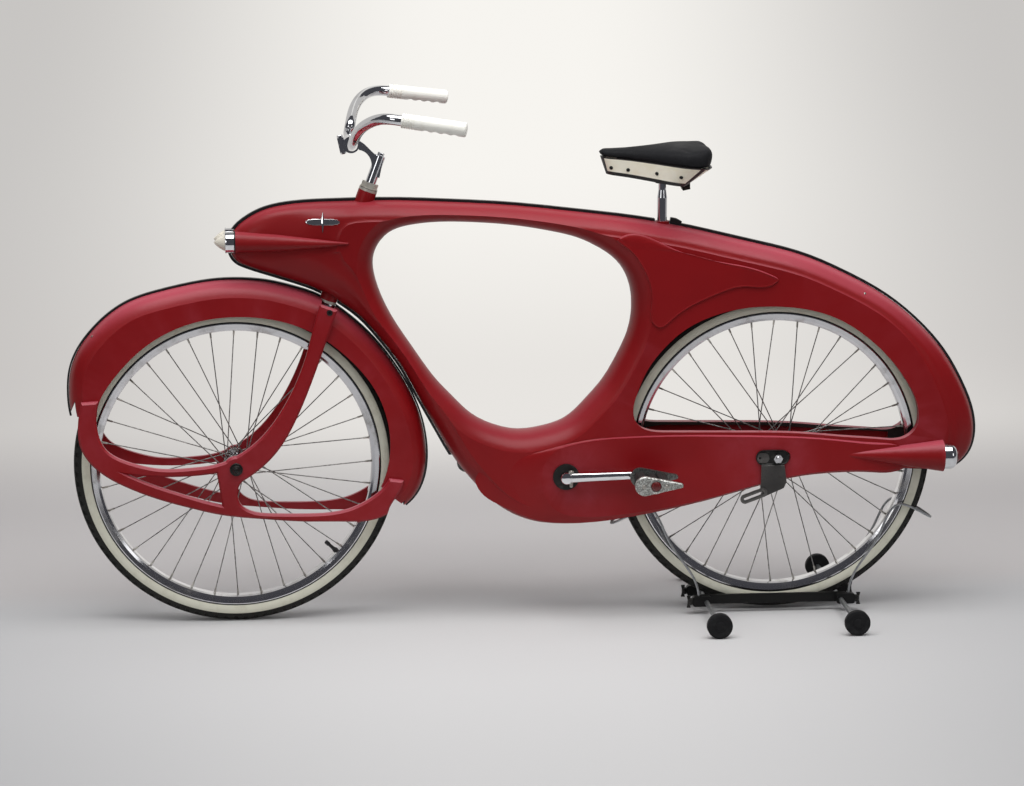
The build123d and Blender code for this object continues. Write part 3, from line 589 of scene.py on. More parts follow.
for name, place, profile, sides in (
    ("fork_bolt_left", FORK_BOLT, [
        (0.0062, -0.002), (0.0062, 0.0006), (0.0048, 0.0010), (0.0046, 0.0030),
        (0.0030, 0.0034), (0.0026, 0.0018), (0.0006, 0.0018),
    ], 24),
    ("front_washer_left", (front_hub.x, fork_y, front_hub.z), [
        (0.0132, -0.0004), (0.0132, 0.0022), (0.0122, 0.0030), (0.0098, 0.0030),
        (0.0094, 0.0020), (0.0060, 0.0020),
    ], 40),
    ("front_dome_nut_left", (front_hub.x, fork_y + 0.002, front_hub.z), [
        (0.0100, 0.0), (0.0100, 0.0068), (0.0086, 0.0078), (0.0066, 0.0082),
        (0.0062, 0.0110), (0.0044, 0.0136), (0.0014, 0.0146),
    ], 24),
):
    bolt = turned(place, (0, 1, 0), profile, sides)
    on_right(settle(bolt, name, "steering", black_metal))

# ---------------------------------------------------------------------------
# Tyres. Balloon tyres in black rubber with a raised cream band on each side, a
# ribbed crown and short cross cuts along the shoulders.

CREAM_INNER, CREAM_OUTER, CREAM_EDGE = 0.2962, 0.3130, 0.0006


def tyre_rubber(name, hub):
    """Black tread and bead with a cream band between them."""
    rubber = Finish(name, (0.02, 0.02, 0.019), 0.62)
    rubber.feed("Specular IOR Level", 0.22)
    radius = rubber.from_axle(hub)
    outside = radius.ramp(CREAM_OUTER, CREAM_OUTER + CREAM_EDGE)
    band = radius.ramp(CREAM_INNER, CREAM_INNER + CREAM_EDGE) * (1 - outside)
    stain = rubber.noise(40.0, 5.0, 0.65).ramp(0.45, 0.8)
    scuffed = rubber.noise(9.0, 3.0).ramp(0.5, 0.8)
    cream = rubber.mix(stain * 0.45, (0.62, 0.61, 0.51), (0.42, 0.40, 0.31))
    cream = rubber.mix(scuffed * 0.4, cream, (0.54, 0.54, 0.49))
    dust = rubber.noise(60.0, 4.0)
    black = rubber.mix(dust, (0.010, 0.010, 0.009), (0.024, 0.023, 0.021))
    rubber.feed("Base Color", rubber.mix(band, black, cream))
    rubber.feed("Roughness", 0.6 - band * 0.12 + stain * 0.1)
    rubber.bump(rubber.noise(220.0, 3.0), 0.15)
    return rubber


TYRE_SIDE = [
    (0.2868, -0.0120), (0.2915, -0.0158), (0.2950, -0.0170), (0.2962, -0.0172),
    (0.2968, -0.0190), (0.3010, -0.0207), (0.3065, -0.0215), (0.3110, -0.0210),
    (0.3130, -0.0204), (0.3136, -0.0194), (0.3195, -0.0176), (0.3232, -0.0150),
    (0.3262, -0.0116), (0.3246, -0.0108), (0.3248, -0.0094), (0.3278, -0.0088),
    (0.3291, -0.0046), (0.3272, -0.0040), (0.3272, -0.0028), (0.3299, -0.0022),
]
TYRE_STEPS, SHOULDER_R, SHOULDER_INNER, SHOULDER_OUTER = 200, 0.3160, 0.0115, 0.0180


def tyre(hub):
    """A lathe-turned cover with every second step of its shoulders cut in."""
    profile = TYRE_SIDE + [(r, -y) for r, y in reversed(TYRE_SIDE)]
    cover = turned(hub, (0, 1, 0), profile, TYRE_STEPS, closed=True)
    bpy.ops.object.transform_apply(location=True, rotation=True, scale=True)
    faced_out()

    def notched(face):
        across = face.center - hub
        if not SHOULDER_INNER < abs(across.y) < SHOULDER_OUTER:
            return False
        step = math.atan2(across.z, across.x) / math.tau * TYRE_STEPS
        return math.hypot(across.x, across.z) > SHOULDER_R and math.floor(step) % 2 == 0

    pick(cover, "FACE", notched)
    bpy.ops.mesh.inset(thickness=0.0009, depth=-0.0022, use_individual=False)
    edit_done()
    return cover


WHEELS = (("front", front_hub), ("rear", rear_hub))

for tag, hub in WHEELS:
    cover = settle(
        tyre(hub), tag + "_tyre_cover", tag + "_wheel",
        tyre_rubber(tag + "_tyre_rubber", hub), 40,
    )
    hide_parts(tag + "_tyre")

# ---------------------------------------------------------------------------
# Wheels. Chromed rims, plain steel spokes screwed into brass nipples with the
# threads showing dull, turned hubs, and a rubber valve with a black cap.

steel = Finish("spoke_steel", (0.30, 0.29, 0.28), 0.38, metal=1.0)
dull = steel.noise(120.0, 4.0).ramp(0.4, 0.7)
steel.wear(dull, (0.36, 0.35, 0.34), (0.18, 0.17, 0.16), 0.30, 0.50)
steel.onto(node["front_spokes"], node["rear_spokes"])
rim_chrome = Finish("rim_chrome", (0.62, 0.62, 0.64), 0.14, metal=1.0)
clouding = rim_chrome.noise(26.0, 5.0, 0.6).ramp(0.45, 0.8)
rim_chrome.wear(clouding, (0.66, 0.66, 0.68), (0.40, 0.39, 0.38), 0.10, 0.26)
rim_chrome.onto(node["front_rim"], node["rear_rim"], node["rear_axle"])

RIM_R, PATTERN, SPOKES, SPOKE_SWEEP = 0.277, 4, 36, 62
SPOKE_GAP = 360 // SPOKES
FLANGES, FLANGE_OUT, FLANGE_IN = {"front": 0.020, "rear": 0.030}, 0.0372, 0.0308


def joined(parts, name, body, finish, smooth=40):
    """Like parts as one piece, handed over."""
    bpy.ops.object.select_all(action="DESELECT")
    for part in parts:
        part.select_set(True)
    bpy.context.view_layer.objects.active = parts[0]
    bpy.ops.object.join()
    return settle(parts[0], name, body, finish, smooth)


for tag, hub in WHEELS:
    nipples, heads = [], []
    for k in range(PATTERN):
        angle = math.radians(SPOKE_GAP * k)
        lean = angle - math.radians(SPOKE_SWEEP if k < 2 else -SPOKE_SWEEP)
        side = 1 if k % 2 == 0 else -1
        y = side * (FLANGE_OUT if k < 2 else FLANGE_IN)
        flange = FLANGES[tag]
        foot = hub + Vector((flange * math.cos(lean), y, flange * math.sin(lean)))
        tip = hub + Vector((RIM_R * math.cos(angle), side * 0.002, RIM_R * math.sin(angle)))
        nipples.append(turned(tip, foot - tip, [
            (0.0030, -0.0022), (0.0030, 0.0004), (0.0021, 0.0008), (0.0019, 0.0110),
            (0.0013, 0.0126),
        ], 8))
        heads.append(turned(
            foot + Vector((0, side * 0.0010, 0)), (0, side, 0),
            [(0.0021, -0.0012), (0.0021, 0.0006), (0.0010, 0.0014)], 8,
        ))
    for group, name, finish in (
        (nipples, "_nipples", nickel), (heads, "_spoke_heads", steel),
    ):
        for part in list(group):
            placed(part)
            for turn in range(1, SPOKES // PATTERN):
                angle = math.radians(SPOKE_GAP * PATTERN * turn)
                spun = Matrix.Rotation(angle, 4, "Y") @ Matrix.Translation(-hub)
                group.append(copied(part, Matrix.Translation(hub) @ spun))
        joined(group, tag + name, tag + "_wheel", finish)

HUBS = {
    "front": [
        (0.0075, -0.0410), (0.0105, -0.0408), (0.0112, -0.0390), (0.0112, -0.0372),
        (0.0236, -0.0366), (0.0242, -0.0355), (0.0242, -0.0338), (0.0236, -0.0326),
        (0.0160, -0.0318), (0.0140, -0.0280), (0.0128, -0.0180), (0.0124, 0.0),
    ],
    "rear": [
        (0.0095, -0.0410), (0.0150, -0.0408), (0.0160, -0.0390), (0.0160, -0.0372),
        (0.0334, -0.0366), (0.0342, -0.0355), (0.0342, -0.0338), (0.0334, -0.0326),
        (0.0276, -0.0318), (0.0262, -0.0290), (0.0258, -0.0180), (0.0258, 0.0),
    ],
}
for tag, hub in WHEELS:
    half = HUBS[tag]
    shell = turned(hub, (0, 1, 0), half + [(r, -y) for r, y in reversed(half[:-1])], 48)
    settle(shell, tag + "_hub_shell", tag + "_wheel", rim_chrome)
    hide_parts(tag + "_hub")

VALVE_AT = {"front": math.radians(223), "rear": math.radians(176)}

for tag, hub in WHEELS:
    inward = -Vector((math.cos(VALVE_AT[tag]), 0, math.sin(VALVE_AT[tag])))
    foot = hub - inward * RIM_R
    stem = turned(foot, inward, [
        (0.0060, -0.002), (0.0056, 0.003), (0.0040, 0.007), (0.0034, 0.017),
        (0.0034, 0.019), (0.0022, 0.020),
    ], 20)
    settle(stem, tag + "_valve", tag + "_wheel", strip)
    cap = turned(foot + inward * 0.019, inward, [
        (0.0042, 0.0), (0.0044, 0.001), (0.0044, 0.008), (0.0036, 0.010), (0.0012, 0.0106),
    ], 12)
    settle(cap, tag + "_valve_cap", tag + "_wheel", strip, 20)

# ---------------------------------------------------------------------------
# Crank. Slim forged arms, polished and chromed, on a plain axle in black
# bearing cups; each arm is held by a cotter pin with a small hexagon nut.

black_metal.onto(node["bb_cups"])
bottom = middle("bb_cups")
CRANK, ARM_Y, LIFT = 0.170, 0.082, 0.004
COTTER_X, COTTER_FOOT, COTTER_TOP = -0.009, -0.019, 0.0112

axle = turned((bottom.x, 0, bottom.z), (0, 1, 0), [
    (0.0080, -0.0885), (0.0095, -0.0865), (0.0105, -0.0800), (0.0105, 0.0800),
    (0.0095, 0.0865), (0.0080, 0.0885),
], 32)
settle(axle, "crank_axle", "crankset", black_metal)
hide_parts("crank")

for side, tag in SIDES:
    way = Vector((-side * CRANK, 0, side * LIFT))
    start = Vector((bottom.x, side * ARM_Y, bottom.z))
    arm = turned(start, way, [
        (0.0030, -0.0125), (0.0080, -0.0105), (0.0105, -0.0040), (0.0108, 0.0040),
        (0.0098, 0.0180), (0.0090, 0.0500), (0.0080, 0.1500), (0.0084, 0.1600),
        (0.0092, 0.1700), (0.0080, 0.1770), (0.0030, 0.1800),
    ], 28)
    squeezed((1, 0.62, 1), start)
    settle(arm, "crank_arm_" + tag, "crankset", chrome, 60)
    boss = turned(start, (0, side, 0), [
        (0.0120, -0.0070), (0.0128, -0.0055), (0.0126, 0.0040), (0.0112, 0.0060),
        (0.0080, 0.0072), (0.0030, 0.0077),
    ], 40)
    settle(boss, "crank_boss_" + tag, "crankset", chrome)
    eye = turned(start + way, (0, side, 0), [
        (0.0104, -0.0070), (0.0114, -0.0058), (0.0114, 0.0052), (0.0100, 0.0066),
        (0.0074, 0.0068),
    ], 40)
    settle(eye, "crank_eye_" + tag, "crankset", chrome)
    cotter = turned(start + Vector((COTTER_X * side, 0, COTTER_FOOT)), (0, 0, 1), [
        (0.0030, 0.0), (0.0038, 0.0012), (0.0042, 0.0300), (0.0028, 0.0302),
        (0.0028, 0.0340), (0.0020, 0.0348),
    ], 16)
    settle(cotter, "cotter_" + tag, "crankset", nickel)
    nut = turned(start + Vector((COTTER_X * side, 0, COTTER_TOP)), (0, 0, 1), [
        (0.0056, 0.0), (0.0060, 0.0006), (0.0060, 0.0032), (0.0052, 0.0038),
        (0.0030, 0.0038),
    ], 6)
    settle(nut, "cotter_nut_" + tag, "crankset", nickel, 25)

# ---------------------------------------------------------------------------
# Pedals. Teardrop end plates cast in light alloy and left rough, two black
# rubber blocks on long bolts, and a faceted ruby reflector over the spindle.

PLATE_IN, RUBBER_IN, RUBBER_OUT, RUBBER_EDGE = 0.1088, 0.1078, 0.1816, 0.0006

for side, tag in SIDES:
    body = tag + "_pedal"
    low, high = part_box("pedal_" + tag)
    casting = Finish(body + "_casting", (0.42, 0.42, 0.41), 0.42, metal=0.85)
    _, y, z = casting.axes()
    pits = casting.noise(280.0, 5.0).ramp(0.42, 0.58)
    patina = casting.noise(45.0, 4.0, 0.7).ramp(0.45, 0.65)
    alloy = casting.mix(pits, (0.66, 0.67, 0.64), (0.30, 0.30, 0.28))
    alloy = casting.mix(patina * 0.5, alloy, (0.24, 0.25, 0.22))
    past = y.size().ramp(RUBBER_OUT, RUBBER_OUT + RUBBER_EDGE)
    between = y.size().ramp(RUBBER_IN, RUBBER_IN + RUBBER_EDGE) * (1 - past)
    inner = 1 - y.size().ramp(PLATE_IN, PLATE_IN + 0.0004)
    # Black between the plates: rubber on the blocks, and painted shade on the spindle hub
    # that runs between them.
    dark = between.greater(inner * 0.75)
    casting.feed("Base Color", casting.mix(dark, alloy, (0.014, 0.014, 0.013)))
    casting.feed("Roughness", 0.36 + pits * 0.2 + between * 0.25)
    casting.feed("Metallic", 0.85 - between * 0.85)
    ribs = (z * 1400.0).wave() * between
    casting.bump(casting.noise(180.0, 4.0) + ribs * 0.8, 0.35)
    casting.onto(node["pedal_" + tag])

    spindle = Vector((bottom.x - side * CRANK, 0, bottom.z + side * LIFT))
    face_y = high.y if side > 0 else low.y
    center = Vector((spindle.x, face_y, spindle.z))
    bezel = turned(center, (0, side, 0), [
        (0.0158, -0.0010), (0.0158, 0.0006), (0.0148, 0.0018), (0.0112, 0.0024),
        (0.0104, 0.0010), (0.0060, 0.0004),
    ], 36)
    settle(bezel, "pedal_bezel_" + tag, body, casting)
    jewel = turned(center, (0, side, 0), [
        (0.0105, -0.0002), (0.0105, 0.0014), (0.0092, 0.0032), (0.0066, 0.0046),
        (0.0026, 0.0052),
    ], 12)
    settle(jewel, "pedal_jewel_" + tag, body, ruby, 10)
    for number, dx in enumerate((0.024, -0.0225)):
        bolt = turned(center + Vector((dx, 0, 0)), (0, side, 0), [
            (0.0050, -0.0010), (0.0050, 0.0006), (0.0040, 0.0008), (0.0040, 0.0024),
            (0.0032, 0.0030), (0.0010, 0.0030),
        ], 6)
        settle(bolt, f"pedal_bolt_{tag}_{number}", body, nickel, 25)

# ---------------------------------------------------------------------------
# Rear axle brackets. Dark pressed steel: a slotted oval pad where the axle is
# drawn back, a plate hung from it, and a bent foot with a long slot.

plate = Finish("bracket_steel", (0.10, 0.095, 0.09), 0.45, metal=0.9)
rust = plate.noise(50.0, 6.0, 0.7).ramp(0.5, 0.72)
worn_steel = plate.mix(rust, (0.12, 0.115, 0.11), (0.085, 0.075, 0.07))
# Painted highlight: the sharp edges of the plates are mixed towards bright steel, standing
# in for light caught by their bevels.
plate.feed("Base Color", plate.mix(plate.edges() * 0.6, worn_steel, (0.42, 0.41, 0.39)))
plate.feed("Roughness", 0.38 + rust * 0.25)
plate.bump(plate.noise(160.0, 4.0), 0.2)

stay_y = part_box("axle_brackets")[1].y - 0.004


def stretched(piece, reach):
    """Pulls the two halves of a new round apart along X, into an oval."""
    for way in (-1, 1):
        pick(piece, "VERT", lambda point: point.co.x * way > 0.00001)
        bpy.ops.transform.translate(value=(way * reach, 0, 0))
        edit_done()


def round_plate(place, radius):
    """A filled round that faces out to the left."""
    return started(
        bpy.ops.mesh.primitive_circle_add, vertices=36, radius=radius, location=place,
        fill_type="NGON", rotation=FACE_OUT,
    )


pad = round_plate((rear_hub.x + 0.0105, stay_y, rear_hub.z + 0.0015), 0.0160)
stretched(pad, 0.0185)
edit_all()
bpy.ops.mesh.extrude_region_move(TRANSFORM_OT_translate={"value": (0, 0.0050, 0)})
bpy.ops.mesh.inset(thickness=0.0015, depth=0)
bpy.ops.mesh.inset(thickness=0.0020, depth=-0.0022)
edit_done()
settle(pad, "axle_pad_left", "frame", black_metal)
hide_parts("axle_brackets")

tab = round_plate((rear_hub.x + 0.0310, stay_y + 0.0022, rear_hub.z + 0.0010), 0.0105)
stretched(tab, 0.0030)
edit_all()
bpy.ops.mesh.extrude_region_move(TRANSFORM_OT_translate={"value": (0, 0.0022, 0)})
edit_done()
rounded(tab, 0.0006, 2, 50)
settle(tab, "axle_tab_left", "frame", plate)

hanger = started(
    bpy.ops.mesh.primitive_plane_add, size=1, rotation=FACE_OUT,
    location=(rear_hub.x + 0.010, stay_y + 0.0050, 0.2990),
)
hanger.scale = (0.048, 0.041, 1)
bpy.ops.object.transform_apply(location=True, rotation=True, scale=True)
pick(hanger, "VERT", lambda point: point.co.z < 0.29)
bpy.ops.mesh.select_mode(type="EDGE")
bpy.ops.transform.translate(value=(-0.002, 0, 0))
bpy.ops.transform.resize(value=(1.15, 1, 1))
bpy.ops.transform.rotate(
    value=math.radians(-13), orient_axis="Y",
    center_override=(rear_hub.x + 0.008, stay_y, 0.2785),
)
bpy.ops.mesh.extrude_region_move(TRANSFORM_OT_translate={"value": (0.001, 0.0060, -0.015)})
bpy.ops.transform.resize(value=(0.80, 1, 1.5))
edit_done()
modified(hanger, "SOLIDIFY", thickness=0.0030, offset=0.0)
rounded(hanger, 0.0008)
settle(hanger, "axle_hanger_left", "frame", plate)

FOOT_X, FOOT_Z = rear_hub.x + 0.0500, 0.2575
foot = round_plate((FOOT_X, stay_y + 0.0095, FOOT_Z), 0.0100)
stretched(foot, 0.0190)
bpy.ops.object.mode_set(mode="EDIT")
bpy.ops.mesh.select_mode(type="FACE")
bpy.ops.mesh.select_all(action="SELECT")
bpy.ops.mesh.inset(thickness=0.0074, depth=0)
bpy.ops.mesh.delete(type="FACE")
bpy.ops.mesh.select_all(action="SELECT")
bpy.ops.mesh.extrude_region_move(TRANSFORM_OT_translate={"value": (0, 0.0030, 0)})
bpy.ops.mesh.select_all(action="SELECT")
bpy.ops.transform.rotate(
    value=math.radians(-20), orient_axis="Y", center_override=(FOOT_X, stay_y, FOOT_Z),
)
edit_done()
rounded(foot, 0.0006, 2, 50)
settle(foot, "axle_foot_left", "frame", plate)

slot_z = rear_hub.z + 0.001
axle_nut = turned((rear_hub.x, stay_y + 0.0025, slot_z), (0, 1, 0), [
    (0.0098, -0.0010), (0.0098, 0.0006), (0.0086, 0.0010), (0.0086, 0.0070),
    (0.0074, 0.0080), (0.0052, 0.0080),
], 6)
settle(axle_nut, "axle_nut_left", "frame", black_metal, 25)
axle_end = turned((rear_hub.x, stay_y + 0.0095, slot_z), (0, 1, 0), [
    (0.0046, 0.0), (0.0046, 0.0030), (0.0036, 0.0042), (0.0012, 0.0046),
], 20)
settle(axle_end, "axle_end_left", "frame", rim_chrome)
slot_pin = turned((rear_hub.x + 0.0370, stay_y + 0.0035, slot_z), (0, 1, 0), [
    (0.0026, 0.0), (0.0026, 0.0012), (0.0018, 0.0014), (0.0018, 0.0010), (0.0004, 0.0010),
], 16)
settle(slot_pin, "axle_pin_left", "frame", black_metal)
for piece in (pad, tab, hanger, foot, axle_nut, axle_end, slot_pin):
    on_right(piece)

# ---------------------------------------------------------------------------
# Saddle. A padded top in black grained vinyl, rolled at its edge over a cream
# skirt that is bound in black at the nose, foot and rear corners and riveted.

black_cover = Finish("black_cover", (0.010, 0.010, 0.011), 0.46)
black_cover.feed("Specular IOR Level", 0.08)
grain = black_cover.cells(620.0)
polished = black_cover.noise(12.0, 3.0).ramp(0.45, 0.7)
black_cover.feed(
    "Base Color", black_cover.mix(grain, (0.008, 0.008, 0.009), (0.020, 0.020, 0.022))
)
black_cover.feed("Roughness", 0.58 - polished * 0.14)
black_cover.bump(grain, 0.35, 0.0006)


def from_cad(part, name):
    """A merged copy of a CAD node's mesh, to be shaped into a new piece."""
    bpy.ops.object.select_all(action="DESELECT")
    copy = bpy.data.objects.new(name, node[part].data.copy())
    bpy.context.collection.objects.link(copy)
    bpy.context.view_layer.objects.active = copy
    copy.select_set(True)
    edit_all()
    bpy.ops.mesh.remove_doubles(threshold=0.00002)
    edit_done()
    return copy


SETTLING_FRAMES = 20


def swollen(piece, voxel, pressure, cap, held):
    """Fills the cover: it swells under pressure by at most the cap, but where it is held."""
    modified(piece, "REMESH", mode="VOXEL", voxel_size=voxel)
    start = [v.co.copy() for v in piece.data.vertices]
    pinned = piece.vertex_groups.new(name="held")
    pinned.add([k for k, co in enumerate(start) if held(co)], 1.0, "REPLACE")
    cloth = piece.modifiers.new("cloth", "CLOTH")
    cloth.settings.use_pressure = True
    cloth.settings.uniform_pressure_force = pressure
    cloth.settings.effector_weights.gravity = 0
    cloth.settings.vertex_group_mass = "held"
    for moment in range(1, SETTLING_FRAMES + 1):
        bpy.context.scene.frame_set(moment)
    seen = piece.evaluated_get(bpy.context.evaluated_depsgraph_get())
    moved = [v.co.copy() for v in seen.data.vertices]
    piece.modifiers.remove(cloth)
    bpy.context.scene.frame_set(1)
    for vertex, old, new in zip(piece.data.vertices, start, moved):
        step = new - old
        vertex.co = old + (step * (cap / step.length) if step.length > cap else step)
    piece.vertex_groups.clear()


SADDLE_BACK, SADDLE_LENGTH = -0.372, 0.225


def seat_height(x, front, rear):
    """Height of a plane across the saddle, from its heights at the nose and back."""
    return rear + (x - SADDLE_BACK) * (front - rear) / SADDLE_LENGTH


cushion = from_cad("saddle_top", "saddle_cushion")
edit_all()
bpy.ops.transform.resize(value=(0.985, 0.975, 1.0))
edit_done()
swollen(
    cushion, voxel=0.0045, pressure=4.0, cap=0.006,
    held=lambda co: co.z < seat_height(co.x, 0.9575, 0.9385),
)
modified(cushion, "SMOOTH", factor=0.5, iterations=6)
modified(cushion, "SUBSURF", levels=1, render_levels=1)


def over_foot(point):
    """Height of a point over the foot of the cushion."""
    return point.co.z - seat_height(point.co.x, 0.955, 0.936)


for chosen, push, reach in (
    (lambda point: point.co.x < -0.364 and over_foot(point) < 0.014, (0.004, 0, 0), 0.03),
    (
        lambda point: point.co.x < -0.362 and over_foot(point) > 0.022,
        (-0.005, 0, 0.004), 0.03,
    ),
    (lambda point: point.co.x > -0.158, (0.002, 0, 0.001), 0.015),
):
    pick(cushion, "VERT", chosen)
    bpy.ops.transform.translate(
        value=push, use_proportional_edit=True, proportional_size=reach
    )
    edit_done()
settle(cushion, "saddle_cushion", "frame", black_cover, 60)
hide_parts("saddle_top")

cream_cover = Finish("cream_cover", (0.62, 0.57, 0.43), 0.5)
x, y, z = cream_cover.axes()
foot_line = z - (x - SADDLE_BACK) * 0.1333 - 0.890
top_line = (x - SADDLE_BACK) * 0.0844 + 0.9357 - z
corner = (x + 0.349 + (z - 0.937) * 0.900).size()
binding = 1 - foot_line.ramp(0.0070, 0.0076)
binding = binding.greater(1 - top_line.ramp(0.0022, 0.0028))
binding = binding.greater((x - (z - 0.934) * 0.30).ramp(-0.1612, -0.1604))
on_side = y.size().ramp(0.040, 0.042)
binding = binding.greater((1 - corner.ramp(0.0052, 0.0058)) * on_side)
yellowed = cream_cover.noise(22.0, 4.0).ramp(0.4, 0.7)
soiled = cream_cover.noise(60.0, 5.0, 0.7).ramp(0.6, 0.85)
cream = cream_cover.mix(yellowed, (0.98, 0.95, 0.80), (0.93, 0.88, 0.70))
cream = cream_cover.mix(soiled * 0.35, cream, (0.50, 0.45, 0.32))
cream_cover.feed("Base Color", cream_cover.mix(binding, cream, (0.012, 0.012, 0.012)))
cream_cover.feed("Roughness", 0.46 + soiled * 0.15)
cream_cover.bump(cream_cover.cells(700.0) + binding * 0.8, 0.2)
cream_cover.onto(node["saddle_skirt"])

RIVETS = ((-0.170, 0.932), (-0.204, 0.928), (-0.259, 0.924), (-0.305, 0.919))
BACK_RIVET_Y, BACK_RIVET_Z = 0.045, 0.918
for number, (x, z) in enumerate(RIVETS):
    place, facing = skin("saddle_skirt", (x, 1, z))
    rivet = turned(place, facing, RIVET, 16)
    name = f"skirt_rivet_left_{number}"
    on_right(settle(rivet, name, "frame", black_metal))
for side, tag in SIDES:
    place, facing = skin("saddle_skirt", (-1, BACK_RIVET_Y * side, BACK_RIVET_Z), (1, 0, 0))
    rivet = turned(place, facing, [(r * 0.85, a) for r, a in RIVET], 16)
    settle(rivet, "skirt_rivet_back_" + tag, "frame", black_metal)

CLAMP_X, CLAMP_Y, CLAMP_Z = -0.324, 0.0140, 0.896
for side, tag in SIDES:
    nut = turned((CLAMP_X, CLAMP_Y * side, CLAMP_Z), (0, side, 0), [
        (0.0095, -0.0010), (0.0095, 0.0010), (0.0075, 0.0014), (0.0075, 0.0068),
        (0.0062, 0.0078), (0.0020, 0.0078),
    ], 6)
    settle(nut, "saddle_clamp_nut_" + tag, "frame", black_metal, 25)

# ---------------------------------------------------------------------------
# Display stand. Two black bars and two cross rods on rubber feet, with bent wire
# hoops that hold the tyre, each drawn tight by a wing bolt.

foot_rubber = Finish("foot_rubber", (0.010, 0.010, 0.011), 0.62)
foot_rubber.feed("Specular IOR Level", 0.15)
foot_rubber.bump(foot_rubber.noise(260.0, 4.0), 0.3)
dusty = foot_rubber.noise(60.0, 4.0).ramp(0.5, 0.8)
foot_rubber.feed(
    "Base Color", foot_rubber.mix(dusty, (0.010, 0.010, 0.011), (0.024, 0.024, 0.025))
)
foot_rubber.onto(node["stand_feet"])
bar_paint = Finish("bar_paint", (0.010, 0.010, 0.010), 0.42)
bar_paint.feed("Specular IOR Level", 0.15)
scraped = bar_paint.noise(90.0, 5.0, 0.7, (0.3, 1.0, 1.0)).ramp(0.66, 0.74)
bar_paint.wear(scraped, (0.008, 0.008, 0.008), (0.05, 0.048, 0.045), 0.40, 0.60)
bar_paint.onto(node["stand_bars"], node["stand_clamps"])
zinc = Finish("zinc_plate", (0.42, 0.43, 0.44), 0.42, metal=1.0)
spangle = zinc.cells(160.0)
zinc.wear(spangle, (0.46, 0.47, 0.48), (0.30, 0.31, 0.32), 0.34, 0.54)
zinc.onto(node["stand_rods"], node["stand_hoops"])

feet_low, feet_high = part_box("stand_feet")
foot_radius = (feet_high.z - feet_low.z) / 2
stand_x = (feet_low.x + feet_high.x) / 2
rod_x = feet_high.x - foot_radius - stand_x
BOLT_X, BOLT_Y, BOLT_Z = 0.025, 0.045, 0.001

for number, (sx, sy) in enumerate(((1, 1), (-1, 1), (1, -1), (-1, -1))):
    outside = Vector((stand_x + sx * rod_x, feet_high.y * sy, feet_low.z + foot_radius))
    cap = turned(outside, (0, sy, 0), [
        (0.0220, -0.0012), (0.0220, 0.0002), (0.0206, 0.0008), (0.0196, 0.0002),
        (0.0100, 0.0002), (0.0092, 0.0016), (0.0060, 0.0022), (0.0012, 0.0022),
    ], 40)
    settle(cap, f"foot_cap_{number}", "frame", foot_rubber)
    knob = outside + Vector((BOLT_X * sx, -feet_high.y * sy + BOLT_Y * sy, BOLT_Z))
    bolt = turned(knob, (sx, 0, 0), [
        (0.0046, -0.012), (0.0046, 0.004), (0.0078, 0.005), (0.0078, 0.011),
        (0.0050, 0.013),
    ], 8)
    settle(bolt, f"hoop_bolt_{number}", "frame", black_metal, 25)
    wing_place = knob + Vector((0.012 * sx, 0, 0))
    wing = started(bpy.ops.mesh.primitive_cube_add, size=1, location=wing_place)
    wing.scale = (0.0050, 0.0030, 0.0260)
    bpy.ops.object.mode_set(mode="EDIT")
    bpy.ops.mesh.subdivide(number_cuts=2)
    edit_done()
    pick(wing, "VERT", lambda point: abs(point.co.z) > 0.45)
    bpy.ops.transform.resize(value=(1.8, 1.3, 1))
    edit_done()
    bpy.ops.object.transform_apply(location=True, rotation=True, scale=True)
    rounded(wing, 0.0010, 2)
    settle(wing, f"hoop_wing_{number}", "frame", black_metal)

# ---------------------------------------------------------------------------
# Studio. A sheet of paper, pale in front and greyer behind, that bends up into a
# wall and can't be seen from its back. The floor's colour is painted darker to the
# sides and towards the camera, as painted falloff of the light, and the wall glows
# with painted light for camera and reflection rays, brightest in the middle and
# dimmer to the sides and at its foot. One large soft light overhead and a weaker
# one on each side of the camera.

FLOOR_HALF, FLOOR_FRONT, SWEEP_BACK, SWEEP_RISE, SWEEP_BEND = 9.0, 1.8, 2.6, 6.0, 1.2

sweep = started(bpy.ops.mesh.primitive_plane_add, size=1)
sweep.name = "paper_sweep"
bpy.ops.object.mode_set(mode="EDIT")
bpy.ops.transform.resize(value=(2 * FLOOR_HALF, FLOOR_FRONT + SWEEP_BACK, 1))
bpy.ops.transform.translate(value=(0, (FLOOR_FRONT - SWEEP_BACK) / 2, 0))
edit_done()
pick(sweep, "VERT", lambda point: point.co.y < -SWEEP_BACK + 0.01)
bpy.ops.mesh.select_mode(type="EDGE")
bpy.ops.mesh.extrude_region_move(TRANSFORM_OT_translate={"value": (0, -SWEEP_BEND, 0)})
bpy.ops.mesh.extrude_region_move(TRANSFORM_OT_translate={"value": (0, 0, SWEEP_BEND)})
bpy.ops.mesh.extrude_region_move(TRANSFORM_OT_translate={"value": (0, 0, SWEEP_RISE)})
bpy.ops.mesh.select_all(action="SELECT")
bpy.ops.mesh.normals_make_consistent(inside=True)
edit_done()
modified(sweep, "BEVEL", width=SWEEP_BEND * 0.98, segments=12, limit_method="ANGLE")
bpy.ops.object.shade_smooth()

paper = Finish("paper", (0.62, 0.61, 0.60), 0.95)
x, y, z = paper.axes()
near = y.ramp(-0.30, -0.06)
